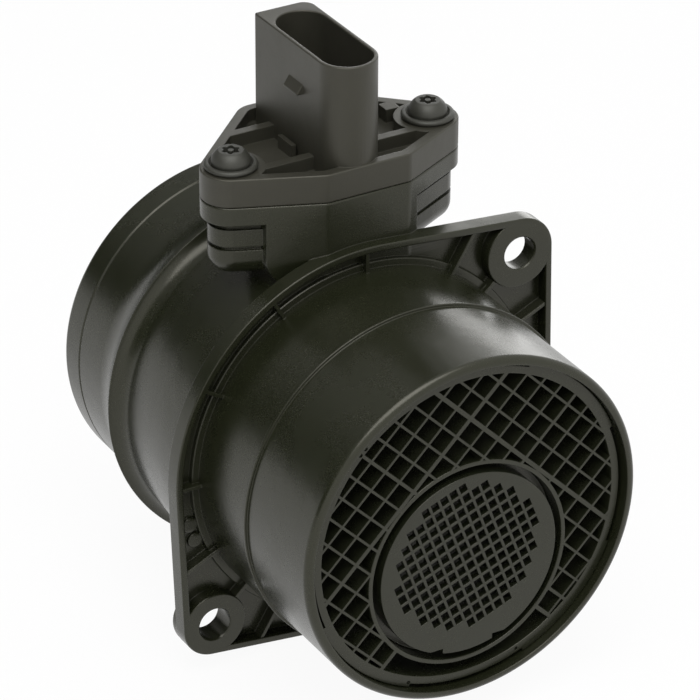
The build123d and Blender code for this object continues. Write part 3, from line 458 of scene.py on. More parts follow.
def shifted(loop, inset):
    """Loop moved into the material, which lies to its left."""
    moved = []
    count = len(loop)
    for k, (x, y) in enumerate(loop):
        px, py = loop[k - 1]
        nx, ny = loop[(k + 1) % count]
        a = Vector((py - y, x - px)).normalized()
        b = Vector((y - ny, nx - x)).normalized()
        bend = (a + b) / max(0.2, 1 + a.dot(b))
        moved.append((x + bend.x * inset, y + bend.y * inset))
    return moved


def clockwise(loop):
    return sum(loop[k - 1][0] * loop[k][1] - loop[k][0] * loop[k - 1][1] for k in range(len(loop))) < 0


def layers(low, high, edge_low, edge_high, steps):
    """Inset and height of each ring of points up a wall with rounded edges."""
    rings = []
    for k in range(steps + 1 if edge_low else 1):
        angle = pi / 2 * k / steps
        rings.append((edge_low * (1 - sin(angle)), low + edge_low * (1 - cos(angle))))
    for k in range(steps, -1, -1) if edge_high else (0,):
        angle = pi / 2 * k / steps
        rings.append((edge_high * (1 - sin(angle)), high - edge_high * (1 - cos(angle))))
    return rings


AXES = {"X": (1, 2, 0), "Y": (0, 2, 1), "Z": (0, 1, 2)}


def prism(name, loops, low, high, axis="Z", edge=0.0, edge_high=None, steps=3):
    """Prism of an outline and its holes along an axis, with rounded edges at both ends.

    A point (u, v) of a loop lies at (u, v, w) for axis Z, (u, w, v) for Y and (w, u, v) for X.
    """
    wind = [loop[::-1] if clockwise(loop) != bool(k) else loop for k, loop in enumerate(loops)]
    rings = layers(low, high, edge, edge if edge_high is None else edge_high, steps)
    across, up, along = AXES[axis]
    bm = bmesh.new()

    def place(u, v, w):
        spot = [0.0, 0.0, 0.0]
        spot[across], spot[up], spot[along] = u, v, w
        return bm.verts.new(spot)

    caps = [[], []]
    for loop in wind:
        grid = [[place(u, v, w) for u, v in shifted(loop, inset)] for inset, w in rings]
        for lower, upper in zip(grid, grid[1:]):
            for k in range(len(loop)):
                bm.faces.new((lower[k - 1], lower[k], upper[k], upper[k - 1]))
        caps[0] += grid[0]
        caps[1] += grid[-1]
    for end, ring in ((0, rings[0]), (1, rings[-1])):
        flat = [[Vector((u, v, 0)) for u, v in shifted(loop, ring[0])] for loop in wind]
        for triangle in tessellate_polygon(flat):
            bm.faces.new([caps[end][k] for k in triangle])
    return new_object(name, bm)


def convex_solid(name, rings):
    """Convex solid round flat outlines given as (outline, height)."""
    bm = bmesh.new()
    for outline, z in rings:
        for x, y in outline:
            bm.verts.new((x, y, z))
    made = bmesh.ops.convex_hull(bm, input=bm.verts)
    loose = {v for v in made["geom_interior"] + made["geom_unused"]
             if isinstance(v, bmesh.types.BMVert)}
    bmesh.ops.delete(bm, geom=list(loose), context='VERTS')
    return new_object(name, bm)


def lathe(name, profile, axis="Y", centre=(0.0, 0.0), steps=ROUND_STEPS):
    """Solid turned from a closed outline of (radius, height) points about an axis.

    centre is where the axis stands: (x, z) for axis Y and (x, y) for axis Z.
    """
    bm = bmesh.new()
    rings = []
    for radius, height in profile:
        count = 1 if abs(radius) < 1e-6 else steps
        ring = []
        for k in range(count):
            u = centre[0] + radius * cos(2 * pi * k / steps)
            v = centre[1] + radius * sin(2 * pi * k / steps)
            ring.append(bm.verts.new((u, height, v) if axis == "Y" else (u, v, height)))
        rings.append(ring)
    for k, ring in enumerate(rings):
        last = rings[k - 1]
        for j in range(steps):
            corners = [last[j % len(last)], last[(j + 1) % len(last)],
                       ring[(j + 1) % len(ring)], ring[j % len(ring)]]
            corners = list(dict.fromkeys(corners))
            if len(corners) > 2:
                bm.faces.new(corners)
    return new_object(name, bm)


def apply_modifiers(obj):
    view = bpy.context.evaluated_depsgraph_get()
    mesh = bpy.data.meshes.new_from_object(obj.evaluated_get(view))
    old = obj.data
    obj.modifiers.clear()
    obj.data = mesh
    mesh.name = obj.name
    bpy.data.meshes.remove(old)


def combine(obj, tool, operation):
    """One boolean step. The tool is used up."""
    step = obj.modifiers.new("step", 'BOOLEAN')
    step.operation = operation
    step.object = tool
    step.solver = 'MANIFOLD'
    apply_modifiers(obj)
    if not obj.data.polygons:
        raise RuntimeError(f"{obj.name}: nothing is left after {operation} with {tool.name}")
    bpy.data.objects.remove(tool)
    return obj


def weld(obj, *tools):
    for tool in tools:
        combine(obj, tool, 'UNION')
    return obj


def carve(obj, *tools):
    for tool in tools:
        combine(obj, tool, 'DIFFERENCE')
    return obj


def common(obj, tool):
    return combine(obj, tool, 'INTERSECT')


def finish_piece(obj, material, *nodes, slot):
    """Smooths the faces, gives the finish and lets the piece stand for its nodes."""
    mesh = obj.data
    bm = bmesh.new()
    bm.from_mesh(mesh)
    bmesh.ops.remove_doubles(bm, verts=bm.verts, dist=2e-6)
    bmesh.ops.dissolve_degenerate(bm, edges=bm.edges, dist=1e-6)
    bm.to_mesh(mesh)
    bm.free()
    mesh.polygons.foreach_set("use_smooth", [True] * len(mesh.polygons))
    mesh.set_sharp_from_angle(angle=SHARP_ANGLE)
    weigh = obj.modifiers.new("weigh", 'WEIGHTED_NORMAL')
    weigh.keep_sharp = True
    weigh.weight = 100
    apply_modifiers(obj)
    obj.data.materials.clear()
    obj.data.materials.append(material)
    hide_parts(*nodes)
    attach(obj, "root")
    return obj


# ---------------------------------------------------------------- flow housing
def tube_wall(t, thick):
    """Closed (radius, y) outline of the tube's wall."""
    stop_foot, flare_foot = t.stop_y - t.stop_run, t.stop_y + t.flare_run
    body_front, waist = (t.body_front_r, thick), (t.body_rear_r, stop_foot)
    edge, tail = (t.stop_r, t.stop_y), (t.outlet_r, flare_foot)
    corners = [
        (t.seat_r, t.inlet_y, 0.3), (t.seat_r, t.seat_rear_y, 0), (t.bore_r, t.seat_rear_y, 0),
        (t.bore_r, t.outlet_y - EXIT_BEVEL_LENGTH, 0.5),
        (t.bore_r + EXIT_BEVEL_RISE, t.outlet_y, 0.2),
        (t.outlet_r, t.outlet_y, t.rim_round),
        (t.outlet_r, t.groove_y + GROOVE_HALF, 0.12), (t.outlet_r - t.groove_depth, t.groove_y, 0.1),
        (t.outlet_r, t.groove_y - GROOVE_HALF, 0.12), (*tail, 0)]
    corners += [(*p, 0) for p in bowed(tail, edge, -t.flare_bow)]
    corners += [(*edge, 0.2)]
    corners += [(*p, 0) for p in bowed(edge, waist, -t.stop_bow)]
    corners += [(*waist, 0)]
    corners += [(*p, 0) for p in bowed(waist, body_front, t.body_bow)]
    bead_rear, bead_r = t.bead_y + t.bead_width, t.inlet_r + t.bead_rise
    corners += [
        (*body_front, 0), (t.body_front_r, thick - TUBE_OVERLAP, 0),
        (t.root_r, thick - TUBE_OVERLAP, 0),
        (t.root_r, bead_rear, 0.12), (bead_r, bead_rear, 0.2), (bead_r, t.bead_y, 0.25),
        (t.inlet_r, t.bead_y, 0.2), (t.inlet_r, t.inlet_y, t.rim_round)]
    return rounded(corners, 8)


def lugs(f):
    """Place and radius of the two lugs."""
    return [(f.bolt_x, f.bolt_z, f.lug_r), (-f.bolt_x, -f.bolt_z, f.low_lug_r)]


def flange_outline(f, grow=0.0):
    return hull([(0, 0, f.radius + grow), *((x, y, r + grow) for x, y, r in lugs(f))], 160)


def flange_solids(f, t):
    """Rim, pocket floor, bolt bosses, ledge, ribs and pads of the flange."""
    outer, middle = flange_outline(f), flange_outline(f, -f.rim / 2)
    yield prism("rim", [outer, flange_outline(f, -f.rim)], 0, f.thick, "Y", 0.3)
    yield prism("pocket_floor", [middle, circle(0, 0, t.bore_r + 1, 160)], f.floor_y, f.thick, "Y")
    sunk_y = f.floor_y + SINK
    ledge = [(t.bore_r + 1, f.ledge_y), (t.bore_r + 1, sunk_y), (f.ledge_r, sunk_y),
             (f.ledge_r, f.ledge_y + 0.2), (f.ledge_r - 0.2, f.ledge_y)]
    yield lathe("ledge", ledge)
    bolt_angle, bolt_far = degrees(atan2(f.bolt_z, f.bolt_x)), hypot(f.bolt_x, f.bolt_z)
    boss_ends = (f.thick - SINK, f.lug_rear_y)      # the upper boss ends inside the flange
    for half_turn, boss_end, (x, y, radius) in zip((0, 180), boss_ends, lugs(f)):
        yield prism("boss", [circle(x, y, radius - 0.06)], 0, boss_end, "Y", 0.3)
        for angle in sorted((*RIB_ANGLES, bolt_angle)):
            end = bolt_far - radius + 1
            if angle != bolt_angle:
                end = reach(middle, angle + half_turn)
            bar = rectangle(t.root_r - 1, -f.rib / 2, end, f.rib / 2)
            yield prism("rib", [turned(bar, angle + half_turn)], f.rib_y, sunk_y, "Y", 0.15)
    for angle in PAD_ANGLES:
        spot = turned([((f.ledge_r + f.radius - f.rim) / 2, 0)], angle)[0]
        yield prism("pad", [circle(*spot, f.pad_r, 32)], f.floor_y - f.pad_rise, sunk_y, "Y", 0.15)


def seat_outline(s, grow=0.0):
    """Kite-shaped plan of the sensor seat, with an ear at each screw."""
    front_y, front_r = s.front_y + s.front_round, s.front_round
    circles = [(front_r - s.front_left, front_y, front_r + grow),
               (s.front_right - front_r, front_y, front_r + grow)]
    for side in (-1, 1):
        circles.append((side * s.screw_x, s.screw_y, s.ear_r + grow))
        circles.append((side * (s.rear_half - s.rear_round), s.rear_y - s.rear_round,
                        s.rear_round + grow))
    return hull(circles, 72)


def neck_solid(s, t):
    """Neck under the seat, drawn in towards the tube on its left side."""
    shoulder, foot = (-s.neck_left, s.shoulder_z), (-s.foot_left, s.foot_z)
    side = [(s.neck_right, 20), (s.neck_right, s.seat_z - 1), (-s.neck_left, s.seat_z - 1),
            shoulder, *bowed(shoulder, foot, -s.neck_bow), foot, (-s.foot_left, 20)]
    neck = prism("neck", [side], s.front_y, s.neck_rear_y, "Y", 0.5)
    common(neck, prism("plan", [seat_outline(s, -0.02)], 10, s.seat_z, "Z"))
    bore = prism("bore", [circle(0, 0, t.bore_r + 1.2, 160)], -5, s.rear_y + 5, "Y")
    return carve(neck, bore)


def boss_solids(s):
    """Screw boss under each ear, with a rounded lower end and grooves round it."""
    plan = seat_outline(s, s.boss_r - s.ear_r)
    groove_floor = seat_outline(s, s.boss_r - s.ear_r - s.boss_groove)
    rear_y, steps = s.screw_y - s.ear_r + 3 * s.boss_r, 10
    for side in (-1, 1):
        outline = clipped(clipped(plan, (0, rear_y), (0, -1)), (side * 4.0, 0), (side, 0))
        rings = [(outline, s.seat_z - 1)]
        for k in range(steps + 1):
            inset = s.boss_round * (1 - sin(pi / 2 * k / steps))
            height = s.boss_end_z + s.boss_round * (1 - cos(pi / 2 * k / steps))
            rings.append((drawn_in(outline, inset), height))
        boss = convex_solid("boss", rings)
        for low, high in BOSS_GROOVES:
            field = rectangle(min(side * 2, side * FAR), -5, max(side * 2, side * FAR), FAR)
            ring = prism("groove", [field], low, high, "Z")
            carve(ring, prism("groove_floor", [groove_floor], low - 1, high + 1, "Z"))
            carve(boss, ring)
        yield boss


def make_housing(z, material):
    f, s = z.flange, z.seat
    housing = lathe("flow_tube", tube_wall(z.tube, f.thick))
    weld(housing, *flange_solids(f, z.tube))
    weld(housing, neck_solid(s, z.tube))
    weld(housing, prism("seat", [seat_outline(s)], s.under_z, s.seat_z, "Z", 0.3, 0.45))
    weld(housing, *boss_solids(s))
    for side in (-1, 1):
        hole = circle(side * f.bolt_x, side * f.bolt_z, f.hole_r)
        carve(housing, prism("hole", [hole], -1, f.lug_rear_y + 1, "Y"))
        cone = [(0, -1), (f.hole_r + MOUTH_FLARE, -1), (f.hole_r - 0.1, MOUTH_DEPTH),
                (0, MOUTH_DEPTH)]
        carve(housing, lathe("bolt_mouth", cone, "Y", (side * f.bolt_x, side * f.bolt_z), 64))
        screw = circle(side * s.screw_x, s.screw_y, z.fastener.shank_r + 0.05, 32)
        carve(housing, prism("screw_hole", [screw], z.fastener.end_z - 0.8, s.seat_z + 1, "Z"))
    slot = stadium(s.bore_half, s.bore_front_y, s.bore_rear_y)
    carve(housing, prism("neck_bore", [slot], 20, s.seat_z + 1, "Z"))
    return finish_piece(housing, material, "flow_housing", slot="housing_plastic")


# ---------------------------------------------------------------- inlet grille and strainer
def grid_lines(g):
    """Distances of the grid bars from the tube axis, with the bar widths."""
    first = g.chord - int((g.chord + g.mesh_r) / g.pitch) * g.pitch
    lines = [first + k * g.pitch for k in range(int((g.mesh_r - first) / g.pitch) + 1)]
    axis_line = min(lines, key=abs)
    widths = [g.heavy if abs(d - g.chord) < 0.01 else g.middle if d == axis_line else g.thin
              for d in lines]
    return list(zip(lines, widths))


def window_corner(g):
    """Height of the corner of the open sector below the inner ring."""
    low = [d for d, _ in grid_lines(g) if d < -g.pitch][-1]
    return low * 2 ** 0.5


def round_field(g):
    """Disc over all of the grid, up to the outer ring."""
    return prism("field", [circle(0, 0, g.mesh_r + 0.5, 160)], g.front_y - 1, 0, "Y")


def ring_inside(g):
    """Disc over all that lies within the inner ring."""
    return prism("inside", [circle(0, g.centre_z, g.ring_r - 0.5, 128)], g.front_y - 1, 0, "Y")


def grid_solid(g):
    """Square grid turned by 45 degrees, cut to the round field and open at the bottom."""
    lines = grid_lines(g)
    lines = [(lines[0][0] - g.pitch, g.thin), *lines, (lines[-1][0] + g.pitch, g.thin)]
    gaps = [(a + wa / 2, b - wb / 2) for (a, wa), (b, wb) in zip(lines, lines[1:])]
    holes = [turned(rectangle(u0, v0, u1, v1), 45) for u0, u1 in gaps for v0, v1 in gaps]
    end = lines[-1][0] + g.thin
    start = lines[0][0] - g.thin
    sheet = turned(rectangle(start, start, end, end), 45)
    grid = prism("grid", [sheet, *holes], g.front_y, g.front_y + g.depth, "Y", 0.12, steps=2)
    common(grid, round_field(g))
    corner, below = window_corner(g), 80
    window = [(0, corner), (-below, corner - below), (below, corner - below)]
    return carve(grid, prism("window", [window], g.front_y - 1, 0, "Y"), ring_inside(g))


def make_grille(z, material):
    g = z.grille
    rear_y = g.front_y + g.depth
    ring = rounded([(g.mesh_r, g.front_y, 0.25), (g.mesh_r, rear_y, 0), (g.radius, rear_y, 0),
                    (g.radius, g.front_y, 0.3)])
    grille = lathe("inlet_insert", ring)
    sweep = range(-RELIEF_HALF_SPAN, RELIEF_HALF_SPAN + 1, 2)
    for quarter in range(4):
        sector = [turned([(r, 0)], 90 * quarter + a)[0]
                  for r, angles in ((g.radius - g.groove_width, sweep), (g.radius + 1, sweep[::-1]))
                  for a in angles]
        carve(grille, prism("relief", [sector], g.front_y - 1, g.front_y + g.groove_depth, "Y"))
    weld(grille, grid_solid(g))
    corner = window_corner(g)
    for side in (-1, 1):
        long_wall = rectangle(0, -g.heavy / 2, g.mesh_r + 0.5, g.heavy / 2)
        wall = turned(long_wall, -90 + side * 45, 0, corner)
        bar = common(prism("wall", [wall], g.front_y, rear_y, "Y", 0.2), round_field(g))
        weld(grille, carve(bar, ring_inside(g)))
    inner, floor_y = g.ring_r - g.ring_wall, g.front_y + g.floor_depth
    floor_end, narrow = floor_y + g.floor_thick, inner - COLLAR_WIDTH
    collar = rounded([(inner, g.front_y, 0.3), (inner, floor_y, 0.3), (narrow, floor_y, 0.2),
                      (narrow, floor_end, 0), (inner, floor_end, 0),
                      (inner, rear_y, 0), (g.ring_r, rear_y, 0), (g.ring_r, g.front_y, 0.3)])
    weld(grille, lathe("inner_ring", collar, "Y", (0, g.centre_z), 128))
    for x, y, radius in DIMPLES:
        carve(grille, prism("dimple", [circle(x, y, radius, 24)], g.front_y - 1, g.front_y + 0.5, "Y"))
    return finish_piece(grille, material, "inlet_grille", slot="grille_plastic")


def strainer_holes(d, centre_z):
    """Square holes on tilted rows; only whole holes inside the round window are kept."""
    half_u, half_v = (d.pitch_u - d.bar) / 2, (d.pitch_v - d.bar) / 2
    limit = d.window_r - hypot(half_u, half_v)
    count = int(d.window_r / d.pitch_u) + 2
    holes = []
    for row in range(-count, count + 1):
        for column in range(-count, count + 1):
            u, v = column * d.pitch_u, row * d.pitch_v
            if hypot(u, v) <= limit:
                hole = rectangle(u - half_u, v - half_v, u + half_u, v + half_v)
                holes.append(turned(hole, HOLE_TURN, d.window_x, centre_z + d.window_rise))
    return holes


def make_strainer(z, material):
    d, centre_z = z.strainer, z.grille.centre_z
    rear_y = d.front_y + d.thick
    skirt_y = z.grille.front_y + z.grille.floor_depth - 0.05
    face = [circle(0, centre_z, d.radius, 128), *strainer_holes(d, centre_z)]
    disc = prism("strainer", face, d.front_y, rear_y, "Y", 0.2, 0, steps=3)
    inner, outer = d.radius - SKIRT_WALL, d.radius - 0.02
    wall = rounded([(inner, rear_y - SINK, 0), (inner, skirt_y, 0), (outer, skirt_y, 0.2),
                    (outer, rear_y - SINK, 0)])
    weld(disc, lathe("skirt", wall, "Y", (0, centre_z), 128))
    for side in (-1, 1):
        notch = rectangle(side * d.notch_x - NOTCH_HALF, centre_z - d.radius - 2,
                          side * d.notch_x + NOTCH_HALF, centre_z - d.radius + NOTCH_REACH)
        carve(disc, prism("notch", [notch], d.front_y - 1, skirt_y + 1, "Y"))
    return finish_piece(disc, material, "centre_strainer", slot="strainer_plastic")


# ---------------------------------------------------------------- sensor insert
def shroud_outline(i):
    """Plug shroud in plan: round front end, flat sides, one rounded rear corner."""
    half, front = i.half_x, i.front_y + i.half_x
    nose = [(-half * cos(pi * k / 24), front - half * sin(pi * k / 24)) for k in range(25)]
    tail = [(half, i.rear_y, SHROUD_CORNER), (-half, i.rear_y, SHROUD_EDGE)]
    return rounded([(*p, 0) for p in nose] + tail, 8)


def plate_pockets(i, s):
    """Pockets in the top of the plate; ribs, screw lands, key bar and stop pad are left standing."""
    over = i.top_z + 1
    field = prism("pockets", [seat_outline(s, -i.rim)], i.floor_z, over, "Z", 0.25, 0)
    carve(field, prism("shroud_foot", [shroud_outline(i)], i.floor_z - 1, over + 1, "Z"))
    for side in (-1, 1):
        land = circle(side * s.screw_x, s.screw_y, i.pad_r, 96)
        carve(field, prism("land", [land], i.floor_z - 1, over + 1, "Z"))
    ribs = [(-FAR, y - i.rib / 2, FAR, y + i.rib / 2) for y in (i.front_rib_y, i.rear_rib_y)]
    for box in (*ribs, KEY_BAR, STOP_PAD):
        carve(field, prism("standing", [rectangle(*box)], i.floor_z - 1, over + 1, "Z"))
    return field


def shroud_solid(i, s):
    """Upright plug shroud with its cavity and the latch wedge."""
    cavity = stadium(i.half_x - i.wall, i.front_y + i.wall, i.rear_y - i.rear_wall)
    outline = shroud_outline(i)
    shroud = prism("shroud", [outline, cavity], s.seat_z + 0.5, i.shroud_z, "Z", 0.0, 0.3)
    core = prism("core", [shifted(outline, 0.5)], s.seat_z + 0.5, i.cavity_z, "Z")
    low_z, face = i.latch_z - i.latch_height, -i.half_x
    wedge = rounded([(face + 0.5, i.latch_z, 0), (face, i.latch_z, 0),
                     (face - i.latch_proud, low_z + 0.4, 0.3), (face - i.latch_proud, low_z, 0.1),
                     (face + 0.5, low_z, 0)])
    half = i.latch_width / 2
    latch = prism("latch", [wedge], i.latch_y - half, i.latch_y + half, "Y", 0.2)
    return weld(shroud, core, latch)


def blade_outline(i):
    half, taper = i.blade_half, BLADE_TAPER
    tail = [(half, i.blade_rear_y - taper), (half - taper, i.blade_rear_y),
            (-half + taper, i.blade_rear_y), (-half, i.blade_rear_y - taper)]
    return rounded([(half, i.blade_front_y, BLADE_NOSE_R), *((*p, BLADE_CORNER) for p in tail),
                    (-half, i.blade_front_y, BLADE_NOSE_R)], 8)


def channel_loops(i):
    """Bypass channel in (y, z): entry, round bend with its island, and exit."""
    middle = (i.blade_front_y + i.blade_rear_y) / 2
    top, low = CHANNEL_TOP_Z, i.blade_tip_z + BLADE_WALL
    bend_r = (top - low) / 2
    centre = (middle + BEND_SHIFT, low + bend_r)
    entry = rectangle(i.blade_front_y - 1, CHANNEL_ENTRY_Z[0], middle, CHANNEL_ENTRY_Z[1])
    leave = rectangle(middle, top - CHANNEL_EXIT, i.blade_rear_y + 1, top - 0.01)
    return entry, leave, circle(*centre, bend_r, 96), circle(*centre, bend_r - CHANNEL_WIDTH, 64)


def side_recess(name, box, low, high):
    """Recess with rounded corners, open to the side of the blade."""
    return prism(name, [rounded([(*p, RECESS_CORNER) for p in rectangle(*box)])], low, high, "X")


def blade_solid(i, s):
    """Stem with its seal groove and the blade with the bays and the bypass channel."""
    half, deep = s.bore_half - STEM_FIT, SEAL_GROOVE_DEPTH
    front, rear = s.bore_front_y + STEM_FIT, s.bore_rear_y - STEM_FIT
    plan, core = stadium(half, front, rear), stadium(half - deep, front + deep, rear - deep)
    groove_low, groove_high = SEAL_GROOVE_Z
    blade = prism("stem", [plan], groove_high, s.seat_z + 1, "Z", 0.3, 0)
    weld(blade, prism("stem_core", [core], STEM_CORE_Z, s.seat_z, "Z"))
    weld(blade, prism("stem_low", [plan], i.stem_end_z, groove_low, "Z", 0.4, 0.3))
    weld(blade, prism("blade", [blade_outline(i)], i.blade_tip_z, i.stem_end_z + 1, "Z", 0.8, 0))
    lid_x, side_x = i.blade_half - COVER_THICK, i.blade_half + 1
    bay = (i.blade_front_y + BAY_INSET, BAY_LOW_Z, i.blade_rear_y - BAY_INSET, BAY_TOP_Z)
    lid = [edge + way * COVER_EDGE for edge, way in zip(bay, (-1, -1, 1, 1))]
    carve(blade, side_recess("bay", bay, BAY_X, side_x), side_recess("lid_seat", lid, lid_x, side_x))
    entry, leave, bend, island = channel_loops(i)
    channel = prism("channel", [entry], CHANNEL_X, lid_x, "X")
    ring = prism("bend", [bend], CHANNEL_X, lid_x, "X")
    weld(channel, prism("leave", [leave], CHANNEL_X + 0.01, lid_x + 0.01, "X"))
    for passage in (channel, ring):
        carve(passage, prism("island", [island], *ISLAND_X, "X"))
    carve(blade, weld(channel, ring))
    nose, tip, tail = LOWER_SEAT_INSETS
    lower = (i.blade_front_y + nose, i.blade_tip_z + tip, i.blade_rear_y - tail,
             CHANNEL_TOP_Z + COVER_EDGE)
    carve(blade, side_recess("lower_seat", lower, lid_x, side_x))
    return carve(blade, prism("slot", [rectangle(*TONGUE_SLOT)], *TONGUE_SLOT_X, "X"))


def make_insert(z, material):
    i, s, f = z.insert, z.seat, z.fastener
    low = s.seat_z + 0.02
    insert = prism("sensor_insert", [seat_outline(s)], low, i.top_z, "Z", 0.45, 0.35)
    carve(insert, plate_pockets(i, s))
    weld(insert, shroud_solid(i, s), blade_solid(i, s))
    for side in (-1, 1):
        hole = circle(side * s.screw_x, s.screw_y, f.shank_r + 0.15, 32)
        carve(insert, prism("screw_hole", [hole], s.seat_z - 1, i.top_z + 1, "Z"))
    return finish_piece(insert, material, "sensor_body", slot="sensor_plastic")


# ---------------------------------------------------------------- screws and washers
def star_outline(radius, valley=0.6, steps=96):
    """Six-lobed star with soft valleys."""
    spots = []
    for k in range(steps):
        angle = 2 * pi * k / steps
        far = radius - valley / 2 + valley / 2 * cos(6 * angle)
        spots.append((far * cos(angle), far * sin(angle)))
    return spots


def make_fasteners(z, material):
    f, s, i = z.fastener, z.seat, z.insert
    under = i.top_z + f.washer_thick - f.washer_dish
    top, edge_z = under + f.head_height, under + HEAD_EDGE
    for side, word in ((-1, "left"), (1, "right")):
        spot = (side * s.screw_x, s.screw_y)
        dome = through((f.head_r, edge_z), (f.head_r - 0.7, top - HEAD_EDGE), (f.top_r, top), 12)
        corners = [(0, f.end_z, 0), (f.shank_r - SCREW_TIP, f.end_z, 0.2),
                   (f.shank_r, f.end_z + SCREW_TIP, 0.2), (f.shank_r, under, 0),
                   (f.head_r, under, 0.25), (f.head_r, edge_z, 0.15)]
        corners += [(*p, 0) for p in dome]
        corners += [(f.top_r, top, 0.25), (0, top, 0)]
        screw = lathe(f"screw_{word}", rounded(corners), "Z", spot, 96)
        star = [(spot[0] + x, spot[1] + y) for x, y in star_outline(f.socket_r)]
        pin = circle(*spot, f.pin_r, 32)
        carve(screw, prism("star", [star, pin], top - f.socket_depth, top + 0.1, "Z"))
        finish_piece(screw, material, f"mount_screw_{word}", slot="screw_metal")
        bore, roll = f.shank_r + 0.1, f.washer_thick / 2
        rim = [(f.washer_r - roll + roll * sin(a), i.top_z + roll - roll * cos(a))
               for a in (pi * k / 12 for k in range(13))]
        washer = [(bore, i.top_z), *rim, (f.head_r + 0.6, i.top_z + f.washer_thick),
                  (f.head_r + 0.08, under), (bore, under)]
        ring = lathe(f"washer_ring_{word}", washer, "Z", spot, 96)
        finish_piece(ring, material, f"washer_{word}", slot="washer_metal")


# ---------------------------------------------------------------- shader expressions
class Sock:
    """A node socket that can be used in arithmetic."""

    def __init__(self, tree, socket):
        self.tree = tree
        self.socket = socket

    def math(self, operation, *values):
        return add_node(self.tree, "ShaderNodeMath", {"operation": operation}, *values)["Value"]

    def clamped(self):
        return self.math('MAXIMUM', self.math('MINIMUM', self, 1.0), 0.0)

    def __add__(self, other):
        return self.math('ADD', self, other)

    def __radd__(self, other):
        return self.math('ADD', other, self)

    def __sub__(self, other):
        return self.math('SUBTRACT', self, other)

    def __rsub__(self, other):
        return self.math('SUBTRACT', other, self)

    def __mul__(self, other):
        return self.math('MULTIPLY', self, other)

    def __rmul__(self, other):
        return self.math('MULTIPLY', other, self)


def feed(tree, slot, value):
    """Leads a socket to an input, or sets the input's own value."""
    if isinstance(value, Sock):
        tree.links.new(value.socket, slot)
    elif slot.type == 'RGBA':
        slot.default_value = (*value[:3], 1.0)
    else:
        slot.default_value = value


def add_node(tree, kind, settings=None, *values, **named):
    """Adds a node: its settings first, then what its inputs take, in their order or by name."""
    made = tree.nodes.new(kind)
    for key, value in (settings or {}).items():
        setattr(made, key, value)
    for slot, value in zip([slot for slot in made.inputs if slot.enabled], values):
        feed(tree, slot, value)
    for key, value in named.items():
        feed(tree, made.inputs[key], value)
    return {out.name: Sock(tree, out) for out in made.outputs if out.enabled}


def direct_rays(tree):
    """1 for camera, glossy and transmission rays, and 0 for all others."""
    path = add_node(tree, "ShaderNodeLightPath")
    return path["Is Camera Ray"] + path["Is Glossy Ray"] + path["Is Transmission Ray"]


def lead_out(tree, output, factor, first, second):
    """Mixes two shaders by a factor and leads the mix to the output."""
    mixed = add_node(tree, "ShaderNodeMixShader", None, factor, first, second)["Shader"]
    feed(tree, tree.nodes[output].inputs["Surface"], mixed)


class Finish:
    """A material under construction, with its shader."""

    def __init__(self, name):
        self.material = bpy.data.materials.new(name)
        self.material.use_nodes = True
        self.tree = self.material.node_tree
        self.shader = self.tree.nodes["Principled BSDF"]
        self.place = self.node("ShaderNodeTexCoord")["Object"]

    def node(self, kind, settings=None, *values, **named):
        return add_node(self.tree, kind, settings, *values, **named)

    def noise(self, scale, detail=3.0, roughness=0.55):
        return self.node("ShaderNodeTexNoise", Vector=self.place, Scale=scale, Detail=detail,
                         Roughness=roughness)["Fac"]

    def blend(self, factor, first, second):
        """Colour mix of two colours by a factor."""
        return self.node("ShaderNodeMix", {"data_type": 'RGBA'}, factor, first, second)["Result"]

    def set(self, name, value):
        feed(self.tree, self.shader.inputs[name], value)


def shade(colour, factor):
    return tuple(min(1.0, c * factor) for c in colour)


# ---------------------------------------------------------------- finishes
def moulded_plastic(name, colour, roughness, grain, rounding=0.3):
    """Glass-filled black plastic: fine grain, faint flow clouds and softened edges."""
    f = Finish(name)
    cloud, speckle = f.noise(55.0, 4.0), f.noise(2600.0, 2.0)
    streak = f.noise(420.0, 3.0)
    sink = f.noise(75.0, 2.0)
    f.set("Base Color", f.blend(cloud * 0.7 + streak * 0.3, shade(colour, 0.8), shade(colour, 1.25)))
    f.set("Roughness", roughness + (cloud - 0.5) * 0.2 + (speckle - 0.5) * 0.08)
    f.set("Specular Tint", (1.0, 0.97, 0.86))
    edge = f.node("ShaderNodeBevel", {"samples": 4}, Radius=rounding * MM)["Normal"]
    height = sink + speckle * 0.10 + streak * 0.05
    f.set("Normal", f.node("ShaderNodeBump", Strength=grain, Distance=0.3 * MM, Height=height,
                           Normal=edge)["Normal"])
    return f.material


def metal(name, colour, roughness, metallic=1.0):
    """Rolled or turned metal with faint uneven polish."""
    f = Finish(name)
    cloud, fine = f.noise(240.0, 3.0), f.noise(3200.0, 2.0)
    f.set("Base Color", f.blend(cloud, shade(colour, 0.85), shade(colour, 1.12)))
    f.set("Metallic", metallic)
    f.set("Roughness", roughness + (cloud - 0.5) * 0.16)
    edge = f.node("ShaderNodeBevel", {"samples": 4}, Radius=0.12 * MM)["Normal"]
    f.set("Normal", f.node("ShaderNodeBump", Strength=0.2, Distance=0.03 * MM, Height=fine,
                           Normal=edge)["Normal"])
    return f.material


def mineral(name, colour, roughness):
    """Fired ceramic, silicon or moulded resin with a fine dry grain."""
    f = Finish(name)
    cloud, fine = f.noise(300.0, 3.0), f.noise(4000.0, 2.0)
    f.set("Base Color", f.blend(cloud * 0.5 + fine * 0.5, shade(colour, 0.9), shade(colour, 1.08)))
    f.set("Roughness", roughness + (fine - 0.5) * 0.1)
    f.set("Normal", f.node("ShaderNodeBump", Strength=0.25, Distance=0.03 * MM,
                           Height=fine)["Normal"])
    return f.material


def give(material, *nodes):
    """Puts a finish on nodes that keep their own solids."""
    for name in nodes:
        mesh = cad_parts[name].data
        mesh.materials.clear()
        mesh.materials.append(material)


